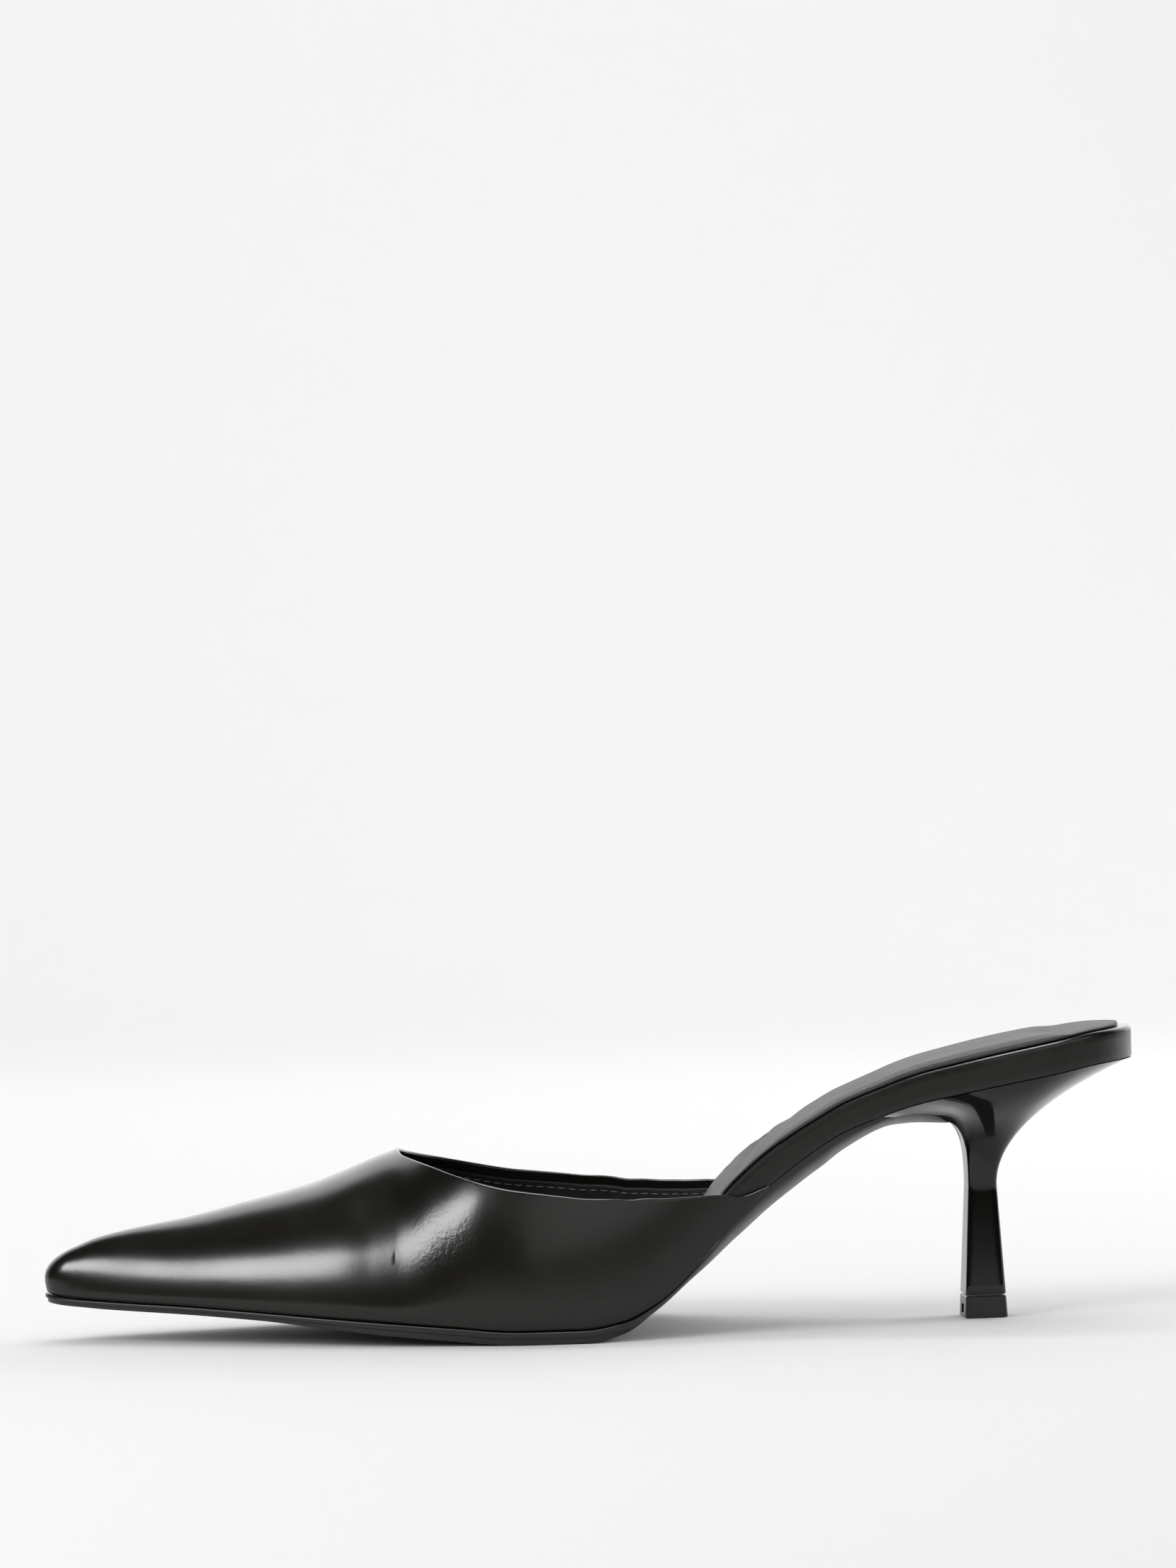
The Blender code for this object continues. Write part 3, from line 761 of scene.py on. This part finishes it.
def add(tree, kind, settings=(), **links):
    """Add a shader node with its settings, and link its inputs from (node, output) pairs or set them."""
    node = tree.nodes.new("ShaderNode" + kind)
    for name, value in settings:
        setattr(node, name, value)
    for name, value in links.items():
        socket = node.inputs[int(name[2:])] if name.startswith("in") else node.inputs[name.replace("_", " ")]
        if isinstance(value, tuple) and isinstance(value[0], bpy.types.Node):
            tree.links.new(value[0].outputs[value[1]], socket)
        else:
            socket.default_value = value
    return node


def finish_of(name, colour, roughness, ior, **sockets):
    """A new material's tree and its shader."""
    material = bpy.data.materials.new(name)
    material.use_nodes = True
    tree = material.node_tree
    shader = tree.nodes["Principled BSDF"]
    shader.inputs["Base Color"].default_value = colour
    shader.inputs["Roughness"].default_value = roughness
    shader.inputs["IOR"].default_value = ior
    for key, value in sockets.items():
        shader.inputs[key.replace("_", " ")].default_value = value
    return material, tree, shader


def calf_leather():
    """Chrome-tanned calf plated under heat: pressed almost flat, so light lies on it in soft bands."""
    material, tree, shader = finish_of("plated_calf_leather", looks().leather, 0.24, 1.45)
    at = (add(tree, "TexCoord"), "Object")
    # Real pores lie 0.2 mm apart, too fine to show here, so they are drawn 0.7 mm apart. The grain creases
    # about every 2 mm, and the hide swells softly over about 15 mm.
    pores = add(tree, "TexVoronoi", (("feature", "SMOOTH_F1"),), Vector=at, Scale=1400.0)
    grain = add(tree, "TexNoise", Vector=at, Scale=480.0, Detail=3.0, Roughness=0.6)
    hide = add(tree, "TexNoise", Vector=at, Scale=70.0, Detail=2.0)
    pressed = add(tree, "Bump", Strength=0.12, Distance=0.00004, Height=(pores, "Distance"))
    folded = add(tree, "Bump", Strength=0.14, Distance=0.0001, Height=(grain, "Fac"),
                 Normal=(pressed, "Normal"))
    uneven = add(tree, "Bump", Strength=0.10, Distance=0.0006, Height=(hide, "Fac"),
                 Normal=(folded, "Normal"))
    # Where the vamp bends, the grain breaks into creases about 1 mm apart.
    middle = TOE_AT + Vector((FLEX_STATION * LENGTH, 0.0, FLEX_HEIGHT))
    near = add(tree, "Mapping", Vector=at, Location=tuple(-middle / FLEX_REACH),
               Scale=(1 / FLEX_REACH, 0.0, 1 / FLEX_REACH))
    bend = add(tree, "TexGradient", (("gradient_type", "SPHERICAL"),), Vector=(near, "Vector"))
    breaks = add(tree, "TexNoise", Vector=at, Scale=800.0, Detail=3.0, Distortion=0.6)
    strong = add(tree, "Math", (("operation", "MULTIPLY"),), in0=(bend, "Fac"), in1=0.5)
    creased = add(tree, "Bump", Strength=(strong, "Value"), Distance=0.0002, Height=(breaks, "Fac"),
                  Normal=(uneven, "Normal"))
    tree.links.new(creased.outputs["Normal"], shader.inputs["Normal"])
    rubbed = add(tree, "MapRange", Value=(hide, "Fac"), To_Min=0.20, To_Max=0.29)
    tree.links.new(rubbed.outputs["Result"], shader.inputs["Roughness"])
    return material


def grained(name, colour, roughness, cell, strength):
    """Drum-dyed leather or thread left unglazed: small round grain cells that scatter light."""
    material, tree, shader = finish_of(name, colour, roughness, 1.5, Sheen_Weight=0.1, Sheen_Roughness=0.4,
                                       Specular_IOR_Level=0.25)
    at = (add(tree, "TexCoord"), "Object")
    # Real leather cells are about 0.3 mm wide, and drawn larger so that they show. Folds are four cells long.
    cells = add(tree, "TexVoronoi", (("feature", "SMOOTH_F1"),), Vector=at, Scale=1.0 / cell)
    folds = add(tree, "TexNoise", Vector=at, Scale=0.25 / cell, Detail=4.0)
    soft = add(tree, "TexNoise", Vector=at, Scale=90.0, Detail=3.0)
    fine = add(tree, "Bump", Strength=strength, Distance=cell * 0.3, Height=(cells, "Distance"))
    broad = add(tree, "Bump", Strength=strength, Distance=cell * 0.4, Height=(folds, "Fac"),
                Normal=(fine, "Normal"))
    tree.links.new(broad.outputs["Normal"], shader.inputs["Normal"])
    darker = tuple(value * 0.7 for value in colour[:3]) + (1.0,)
    tone = add(tree, "Mix", (("data_type", "RGBA"),), Factor=(soft, "Fac"), in6=darker, in7=colour)
    tree.links.new(tone.outputs[2], shader.inputs["Base Color"])
    matt = add(tree, "MapRange", Value=(soft, "Fac"), To_Min=roughness - 0.08, To_Max=roughness + 0.08)
    tree.links.new(matt.outputs["Result"], shader.inputs["Roughness"])
    return material


def smooth_finish(name, colour, roughness, ior, ripple, wave=0.015):
    """A moulded, lacquered or glazed surface: even, with the slight swell that a real one has."""
    material, tree, shader = finish_of(name, colour, roughness, ior)
    at = (add(tree, "TexCoord"), "Object")
    waves = add(tree, "TexNoise", Vector=at, Scale=1.0 / wave, Detail=1.0)
    bump = add(tree, "Bump", Strength=ripple, Distance=0.0002, Height=(waves, "Fac"))
    tree.links.new(bump.outputs["Normal"], shader.inputs["Normal"])
    # Fine wear about 3 mm across
    dust = add(tree, "TexNoise", Vector=at, Scale=300.0, Detail=4.0)
    worn = add(tree, "MapRange", Value=(dust, "Fac"), To_Min=roughness * 0.8, To_Max=roughness * 1.25)
    tree.links.new(worn.outputs["Result"], shader.inputs["Roughness"])
    return material


def looks():
    """The finishes a user can change."""
    return bpy.context.scene.mule_looks


def sizes():
    """The sizes a user can change."""
    return bpy.context.scene.mule_sizes


class MuleSizes(bpy.types.PropertyGroup):
    """Small sizes of the shoe's making that the solids leave open."""

    lining_drop: FloatProperty(name="Lining drop", description="How far the lining starts under the fold",
                               default=0.0019, min=0.0008, max=0.004, unit="LENGTH")
    lining_thickness: FloatProperty(name="Lining thickness", description="Thickness of the lining leather",
                                    default=0.0006, min=0.0003, max=0.0008, unit="LENGTH")
    stitch_length: FloatProperty(name="Stitch length", description="Length of one stitch under the top edge",
                                 default=0.0019, min=0.001, max=0.004, unit="LENGTH")
    stitch_drop: FloatProperty(name="Stitch drop",
                               description="How far the stitches lie under the lining's edge",
                               default=0.0010, min=0.0005, max=0.003, unit="LENGTH")
    stitch_gap: FloatProperty(name="Stitch gap", description="Gap between two stitches",
                              default=0.0006, min=0.0002, max=0.002, unit="LENGTH")
    feather_tuck: FloatProperty(name="Feather tuck", description="How far the upper rounds in over the sole",
                                default=0.0006, min=0.0, max=0.001, unit="LENGTH")


COLOUR = {"subtype": "COLOR", "size": 4, "min": 0.0, "max": 1.0}


class MuleLooks(bpy.types.PropertyGroup):
    """Colours of the shoe's materials."""

    leather: FloatVectorProperty(name="Leather", description="Colour of the upper leather",
                                 default=linear("#12110d"), **COLOUR)
    rand: FloatVectorProperty(name="Rand", description="Colour of the leather round the board",
                              default=linear("#12110d"), **COLOUR)
    lining: FloatVectorProperty(name="Lining", description="Colour of the lining leather",
                                default=linear("#1a1918"), **COLOUR)
    sock: FloatVectorProperty(name="Sock", description="Colour of the sock leather",
                              default=linear("#323132"), **COLOUR)
    sole: FloatVectorProperty(name="Sole", description="Colour of the sole rubber",
                              default=linear("#1b1a19"), **COLOUR)
    lacquer: FloatVectorProperty(name="Lacquer", description="Colour of the heel's lacquer",
                                 default=linear("#0f0e0c"), **COLOUR)
    floor: FloatVectorProperty(name="Floor", description="Colour of the studio floor",
                               default=linear("#f2f2f2"), **COLOUR)


def stitches(skin, length, gap):
    """Short pulled threads in a row along a skin's top edge, on its inner face."""
    path = skin.points[skin.edge][2:-2]
    inward = -skin.normals[skin.edge][2:-2]
    way = np.concatenate([[0.0], np.cumsum(np.linalg.norm(np.diff(path, axis=0), axis=1))])
    points = []
    faces = []
    for k in range(int(way[-1] / (length + gap))):
        start = k * (length + gap)
        rings = []
        for step, share in enumerate((0.30, 0.85, 1.00, 0.85, 0.30)):
            s = start + length * step / 4
            middle, ahead = at_way(way, path, s), at_way(way, path, s + 1e-5)
            out = at_way(way, inward, s)
            out /= np.linalg.norm(out)
            across = np.cross(ahead - middle, out)
            across /= np.linalg.norm(across)
            middle = middle + out * THREAD_RADIUS * (share - 0.5)
            rings.append([middle + THREAD_RADIUS * share * (out * math.sin(a) + across * math.cos(a))
                          for a in np.linspace(0, 2 * math.pi, 6, endpoint=False)])
        ring_points, ring_faces = ringed(rings)
        faces += [tuple(corner + len(points) for corner in face) for face in ring_faces]
        points += ring_points.tolist()
    return points, faces


def at_way(way, values, s):
    """A row of values read at a distance along a path."""
    return np.array([np.interp(s, way, values[:, axis]) for axis in range(3)])


class MULE_OT_upper(bpy.types.Operator):
    """Build the upper: polished leather folded over at the top edge, and its lining"""

    bl_idname = "mule.upper"
    bl_label = "Upper"

    def execute(self, context):
        thickness = sizes().lining_thickness

        def leather_back(x):
            return thickness * min(1.0, wall_at(x) / FULL_LINING_WALL)

        skin = skin_under(FOLD_ROLL, 0.0, 100)
        points, faces = shell(skin, leather_back, wall_at, roll_steps=8, tuck=sizes().feather_tuck)
        upper = mesh_piece("vamp_leather", points, faces, calf_leather())
        dressed(upper, "upper_leather", "upper")

        # Goat keeps a fine pebble and stays matt inside the shoe.
        goat = grained("grained_goat_lining", looks().lining, 0.6, 0.0005, 0.5)
        drop = sizes().lining_drop
        skin = skin_under(FOLD_ROLL + drop, drop, 100)
        points, faces = shell(skin, lambda x: 0.0, lambda x: leather_back(x) - GLUE_LINE, roll_steps=3)
        lining = mesh_piece("upper_lining", points, faces, goat)
        dressed(lining, "upper_leather")

        # Waxed thread is dull. Its grey is lighter than the leather as a painted glint: it stands in for the
        # shine of the real dark thread.
        thread = grained("waxed_thread", linear("#6a6968"), 0.45, 0.00015, 0.4)
        below = FOLD_ROLL + drop + sizes().stitch_drop
        points, faces = stitches(skin_under(below, below, 60), sizes().stitch_length, sizes().stitch_gap)
        dressed(mesh_piece("lining_stitches", points, faces, thread), "upper_leather")
        return {"FINISHED"}


class MULE_OT_board(bpy.types.Operator):
    """Build the insole board with its leather-covered side"""

    bl_idname = "mule.board"
    bl_label = "Insole board"

    def execute(self, context):
        loop = outline(half, TOE_TIP, SEAT, LENGTH)

        def low(x):
            return bottom(x) + FIT

        def rounding(x):
            return EDGE_ROUNDING * min(1.0, (board_top(x) - low(x)) / RAND_HEIGHT)

        rings = []
        steps = 6
        for step in range(steps + 1):
            angle = QUARTER * step / steps
            inset, raised = EDGE_BREAK * (1 - math.sin(angle)), EDGE_BREAK * (1 - math.cos(angle))
            rings.append(draped(pushed(loop, lambda x: -inset * rounding(x)),
                                lambda x: low(x) + raised * rounding(x)))
        for share in (0.25, 0.5, 0.75):
            rings.append(draped(loop, lambda x: low(x) + EDGE_BREAK * rounding(x)
                                + share * (board_top(x) - low(x) - (1 + EDGE_BREAK) * rounding(x))))
        for step in range(steps + 1):
            angle = QUARTER * step / steps
            inset, dropped = 1 - math.cos(angle), 1 - math.sin(angle)
            rings.append(draped(pushed(loop, lambda x: -inset * rounding(x)),
                                lambda x: board_top(x) - dropped * rounding(x)))
        points, faces = ringed(rings)
        # Calf skived thin and pulled tight over the edge is close and slightly glossy.
        skived = smooth_finish("skived_calf_leather", looks().rand, 0.26, 1.45, 0.05)
        board = mesh_piece("rand", points, faces, skived)
        dressed(board, "rand_leather", "insole_board")
        return {"FINISHED"}


def sock_rise(x, y, inset):
    """How far the sock's cover stands over its edge: the foam's crown, less its bends and the heel's seam."""
    wide = max(half(OUTER if y < 0 else INNER, min(x, SEAT)), 1e-4)
    across = min(abs(y) / wide, 1.0)
    bowed = x + SEAM_BOW * (1 - across * across)
    rise = SOCK_CROWN * (0.5 + 0.9 * SOCK_SWELL(bowed)) * eased(inset, -0.12, 0.26)
    for near, middle, depth, width in SOCK_BENDS:
        bend = (middle + (near - middle) * -y / wide) * LENGTH
        rise -= depth * math.exp(-((x - bend) / width) ** 2) * (0.5 + 0.5 * eased(inset, 0.0, 0.2))
    seam = (bowed / LENGTH - SEAM_STATION) * LENGTH / SEAM_WIDTH
    return rise - SEAM_DEPTH * math.exp(-seam * seam) * eased(inset, 0.0, 0.06)


class MULE_OT_sock(bpy.types.Operator):
    """Build the padded sock"""

    bl_idname = "mule.sock"
    bl_label = "Sock"

    def execute(self, context):
        back = LENGTH - SOCK_HEEL_INSET
        tip = POLE * 0.75
        loop = outline(lambda side, x: half(side, x) - SOCK_INSET, tip, SEAT, back)

        def low(x):
            return board_top(x) + FIT

        rings = [draped(loop, low)]
        steps = 4
        for step in range(steps + 1):
            angle = QUARTER * step / steps
            inset, share = 0.5 * (1 - math.cos(angle)), 0.35 + 0.65 * math.sin(angle)
            rings.append(draped(pushed(loop, lambda x: -inset * SOCK_SIDE(x)),
                                lambda x: low(x) + share * SOCK_SIDE(x)))
        rim = pushed(loop, lambda x: -0.5 * SOCK_SIDE(x))
        rows = 26
        for k in range(1, rows):
            inset = (k / rows) ** 1.3
            ring = [(x, y * (1 - inset), low(x) + SOCK_SIDE(x) + sock_rise(x, y * (1 - inset), inset))
                    for x, y in rim]
            rings.append(np.array(ring))
        points, faces = ringed(rings)
        # Unglazed kid over foam is matt, with a fine grain, and lightens where it turns away.
        kid = grained("unglazed_kid_leather", looks().sock, 0.55, 0.0006, 0.6)
        sock = mesh_piece("sock_pad", points, faces, kid)
        dressed(sock, "sock_leather", "sock")
        return {"FINISHED"}


class MULE_OT_outsole(bpy.types.Operator):
    """Build the outsole: bead, step and tread in front, a rounded waist behind"""

    bl_idname = "mule.outsole"
    bl_label = "Outsole"

    def execute(self, context):
        loop = sole_outline()
        turns = np.array([SOLE_TURN(x) for x in loop[:, 0]])
        rings = []
        for k, (drop_flat, inset_flat) in enumerate(SOLE_PROFILE):
            angle = QUARTER * k / (len(SOLE_PROFILE) - 1)
            drop_round = math.sin(angle) ** 0.9
            inset_round = 0.92 * (1 - math.cos(angle)) ** 0.85
            edge = pushed(loop, -SOLE_STEP * inset_flat)
            middle = loop * np.array([1.0, 1 - inset_round])
            plan = edge + (middle - edge) * turns[:, None]
            ring = [(x, y, bottom(x) - (drop_flat + (drop_round - drop_flat) * turn) * (bottom(x) - tread(x)))
                    for (x, y), turn in zip(plan, turns)]
            rings.append(np.array(ring))
        points, faces = ringed(rings)
        # Resin rubber buffed on a roller is satin, with a faint ripple about 6 mm long.
        rubber = smooth_finish("buffed_resin_rubber", looks().sole, 0.36, 1.5, 0.3, 0.006)
        sole = mesh_piece("outsole_rubber", points, faces, rubber, 50.0)
        dressed(sole, "sole_rubber", "outsole")
        return {"FINISHED"}


def half_stem(z):
    """Points of half the stem's section, from the middle of the breast to the middle of the back."""
    share = 1 - z / NECK_HEIGHT
    depth = STEM_DEPTH_NECK + (STEM_DEPTH_FOOT - STEM_DEPTH_NECK) * share
    width = STEM_WIDTH_NECK + (STEM_WIDTH_FOOT - STEM_WIDTH_NECK) * share
    middle = STEM_STATION * LENGTH
    front, back, side = middle - depth / 2, middle + depth / 2, width / 2
    front_round, back_round = STEM_CORNER, 1.8 * STEM_CORNER
    points = [(front, (side - front_round) * k / 9) for k in range(9)]
    for k in range(7):
        angle = QUARTER * k / 6
        points.append((front + front_round * (1 - math.cos(angle)),
                       side - front_round * (1 - math.sin(angle))))
    straight = depth - front_round - back_round
    points += [(front + front_round + straight * k / 10, side) for k in range(1, 10)]
    for k in range(9):
        angle = QUARTER * k / 8
        points.append((back - back_round * (1 - math.sin(angle)), side - back_round * (1 - math.cos(angle))))
    points += [(back, (side - back_round) * (1 - k / 5)) for k in range(1, 6)]
    return points


def stem_ring(z, inset=0.0):
    """The stem's whole section at a height, its breast swung towards the ball's outer side."""
    points = half_stem(z)
    section = np.array([(x, -y) for x, y in points] + points[1:-1][::-1])
    if inset:
        section = pushed(section, -inset)
    middle = np.array([STEM_STATION * LENGTH, 0.0])
    cos, sin = math.cos(HEEL_SWING), math.sin(HEEL_SWING)
    plan = middle + (section - middle) @ np.array([[cos, sin], [-sin, cos]])
    return np.column_stack([plan, np.full(len(plan), z)])


def half_seat(side, count):
    """Points of half the seat's rim, from the middle of its front to its back."""
    front = WING_FRONT_STATION * LENGTH
    edge = half(side, front)
    bow = 0.1 * edge
    points = [(front - bow * (1 - share * share), side * edge * share) for share in np.linspace(0, 0.92, 10)]
    steps = count - 1 - len(points)
    for k in range(steps + 1):
        x = front + (LENGTH - front) * math.sin(QUARTER * k / steps)
        wide = half(side, min(x, SEAT))
        if x > SEAT:
            wide *= math.sqrt(max(0.0, 1 - ((x - SEAT) / (LENGTH - SEAT)) ** 2))
        points.append((x, side * wide))
    return points


def flared(start, end, frontness, t):
    """A point on the sweep from the neck to the seat's rim: steep at the breast, cupped at the sides."""
    height = end[2] - start[2]
    away = end - start
    sideness = away[1] ** 2 / (away[0] ** 2 + away[1] ** 2)
    cupped = (1 - frontness) * sideness ** (2 if away[0] > 0 else 1)
    climb, lead, drop = (back + (breast - back) * frontness for back, breast in zip(FLARE_BACK, FLARE_BREAST))
    first = start + np.array([0.0, 0.0, climb * height])
    second = start + away * (lead + (CUP_LEAD - lead) * cupped)
    second[2] = end[2] - (drop + (CUP_DROP - drop) * cupped) * height
    return start * (1 - t) ** 3 + first * 3 * t * (1 - t) ** 2 + second * 3 * t * t * (1 - t) + end * t ** 3


def cut_by(piece, cutter):
    """Take a cutter's shape out of a piece for good."""
    modifier = piece.modifiers.new("cut", "BOOLEAN")
    modifier.operation = "DIFFERENCE"
    modifier.solver = "EXACT"
    modifier.object = cutter
    depsgraph = bpy.context.evaluated_depsgraph_get()
    result = bpy.data.meshes.new_from_object(piece.evaluated_get(depsgraph))
    piece.modifiers.clear()
    piece.data = result
    bpy.data.objects.remove(cutter, do_unlink=True)
    result.shade_smooth()
    result.set_sharp_from_angle(angle=math.radians(35))


class MULE_OT_heel(bpy.types.Operator):
    """Build the lacquered heel and its top piece"""

    bl_idname = "mule.heel"
    bl_label = "Heel"

    def execute(self, context):
        # ABS from the mould, dipped in black lacquer, is a mirror with a faint swell.
        lacquer = smooth_finish("lacquered_abs", looks().lacquer, 0.07, 1.44, 0.05)
        start = TIP_HEIGHT + 0.0003
        rings = [stem_ring(TIP_HEIGHT, 0.0002), stem_ring(TIP_HEIGHT + 0.0001, 0.00005)]
        rings += [stem_ring(start + (NECK_HEIGHT - start) * k / 14) for k in range(15)]
        neck = rings[-1]
        count = len(half_stem(0.0))
        plan = half_seat(OUTER, count) + half_seat(INNER, count)[1:-1][::-1]
        seat = np.array([(x, y, bottom(x) + FIT / 2) for x, y in plan])
        total = len(neck)
        levels = 40
        for level in range(1, levels + 1):
            ring = []
            for k in range(total):
                way = min(k, total - k) / (count - 1)
                frontness = 0.5 + 0.5 * math.cos(math.pi * min(1.0, max(0.0, way * 1.6 - 0.25)))
                ring.append(flared(neck[k], seat[k], frontness, level / levels))
            rings.append(np.array(ring))
        points, faces = ringed(rings)
        heel = mesh_piece("heel_block", points, faces, lacquer)
        notch = pushed(sole_outline(), FIT)
        top = SOLE_THICKNESS + SEAT_RISE + RAND_HEIGHT
        points, faces = ringed([draped(notch, lambda x: NECK_HEIGHT), draped(notch, lambda x: top)])
        cut_by(heel, mesh_piece("tail_cutter", points, faces, lacquer))
        dressed(heel, "heel_lacquer", "heel")

        # Polyurethane as it leaves the mould is satin, and slightly uneven where it cooled.
        plastic = smooth_finish("moulded_polyurethane", linear("#1a1918"), 0.3, 1.5, 0.2, 0.004)
        end = TIP_HEIGHT - FIT
        body = ((0.0, 0.0004), (0.0001, 0.00015), (0.0003, 0.0), (0.0025, 0.0),
                (end - 0.0002, 0.0), (end, 0.0002))
        points, faces = ringed([stem_ring(z, inset) for z, inset in body])
        tip_piece = mesh_piece("top_piece", points, faces, plastic)
        breast = stem_ring(NOTCH_FLOOR + NOTCH_HEIGHT / 2)[0]
        corners = [(a * NOTCH_DEPTH, b * NOTCH_WIDTH / 2, c * NOTCH_HEIGHT / 2)
                   for c in (-1, 1) for a, b in ((-1, -1), (1, -1), (1, 1), (-1, 1))]
        turn = Matrix.Rotation(HEEL_SWING, 3, "Z")
        box = np.array([turn @ Vector(corner) for corner in corners]) + breast
        faces = [(0, 1, 5, 4), (1, 2, 6, 5), (2, 3, 7, 6), (3, 0, 4, 7), (0, 3, 2, 1), (4, 5, 6, 7)]
        cut_by(tip_piece, mesh_piece("notch_cutter", box, faces, plastic))
        dressed(tip_piece, "tip_plastic", "heel_tip")
        return {"FINISHED"}


class MULE_OT_stage(bpy.types.Operator):
    """Set the floor, the studio lights and the camera"""

    bl_idname = "mule.stage"
    bl_label = "Stage"

    def execute(self, context):
        self.floor()
        self.lights()
        self.camera(context)
        context.scene.view_settings.view_transform = "Standard"
        return {"FINISHED"}

    @staticmethod
    def floor():
        # Seamless studio paper is plain and matt.
        paper = finish_of("white_paper_sweep", looks().floor, 0.9, 1.45)[0]
        profile = [(SWEEP_FRONT, 0.0), (SWEEP_BEND, 0.0)]
        profile += [(SWEEP_BEND + SWEEP_RADIUS * math.sin(a), SWEEP_RADIUS * (1 - math.cos(a)))
                    for a in np.linspace(0.1, QUARTER, 14)]
        profile += [(SWEEP_BEND + SWEEP_RADIUS, SWEEP_TOP)]
        points = [(x, y, z) for y, z in profile for x in (-SWEEP_HALF_WIDTH, SWEEP_HALF_WIDTH)]
        faces = [(2 * k, 2 * k + 1, 2 * k + 3, 2 * k + 2) for k in range(len(profile) - 1)]
        mesh = bpy.data.meshes.new("studio_floor")
        mesh.from_pydata(points, [], faces)
        mesh.shade_smooth()
        mesh.materials.append(paper)
        placed("studio_floor", mesh)

    @staticmethod
    def lights():
        world = bpy.data.worlds.new("studio")
        world.use_nodes = True
        background = world.node_tree.nodes["Background"]
        background.inputs["Color"].default_value = (1.0, 1.0, 1.0, 1.0)
        background.inputs["Strength"].default_value = ROOM_LIGHT
        bpy.context.scene.world = world
        world.cycles_visibility.glossy = False
        for name, place, aim, wide, high, power, shines in LAMPS:
            light = bpy.data.lights.new(name, "AREA")
            light.shape = "RECTANGLE"
            light.size = wide
            light.size_y = high
            light.energy = power
            lamp = placed(name, light)
            lamp.location = place
            lamp.rotation_euler = (Vector(aim) - Vector(place)).to_track_quat("-Z", "Y").to_euler()
            lamp.visible_glossy = shines
            lamp.visible_diffuse = not shines
            lamp.visible_camera = False

    @staticmethod
    def camera(context):
        lens = bpy.data.cameras.new("camera")
        lens.sensor_width = CAMERA_SENSOR
        lens.lens = CAMERA_LENS
        lens.clip_end = CAMERA_REACH
        camera = placed("camera", lens)
        turn = Matrix.Rotation(math.radians(-CAMERA_YAW), 4, "Z") @ Matrix.Rotation(QUARTER, 4, "X")
        turn = turn @ Matrix.Rotation(math.radians(-CAMERA_ROLL), 4, "Z")
        camera.matrix_world = Matrix.Translation(TOE_AT + Vector(CAMERA_PLACE)) @ turn
        context.scene.camera = camera


class MULE_PT_panel(bpy.types.Panel):
    """Lists the shoe's pieces and sizes"""

    bl_label = "Kitten heel mule"
    bl_idname = "MULE_PT_panel"
    bl_space_type = "VIEW_3D"
    bl_region_type = "UI"
    bl_category = "Mule"

    def draw(self, context):
        layout = self.layout
        for operator in OPERATORS:
            layout.operator(operator.bl_idname)
        for group in (context.scene.mule_sizes, context.scene.mule_looks):
            for name in group.__annotations__:
                layout.prop(group, name)


OPERATORS = (MULE_OT_upper, MULE_OT_board, MULE_OT_sock, MULE_OT_outsole, MULE_OT_heel, MULE_OT_stage)
CLASSES = (MuleSizes, MuleLooks, *OPERATORS, MULE_PT_panel)


def register():
    """Add the classes and their settings."""
    for item in CLASSES:
        bpy.utils.register_class(item)
    bpy.types.Scene.mule_sizes = PointerProperty(type=MuleSizes)
    bpy.types.Scene.mule_looks = PointerProperty(type=MuleLooks)


def unregister():
    """Take the classes and their settings away."""
    del bpy.types.Scene.mule_looks
    del bpy.types.Scene.mule_sizes
    for item in reversed(CLASSES):
        bpy.utils.unregister_class(item)


def main():
    """Build every piece and set the stage."""
    register()
    bpy.ops.mule.upper()
    bpy.ops.mule.board()
    bpy.ops.mule.sock()
    bpy.ops.mule.outsole()
    bpy.ops.mule.heel()
    bpy.ops.mule.stage()


if __name__ == "__main__":
    main()
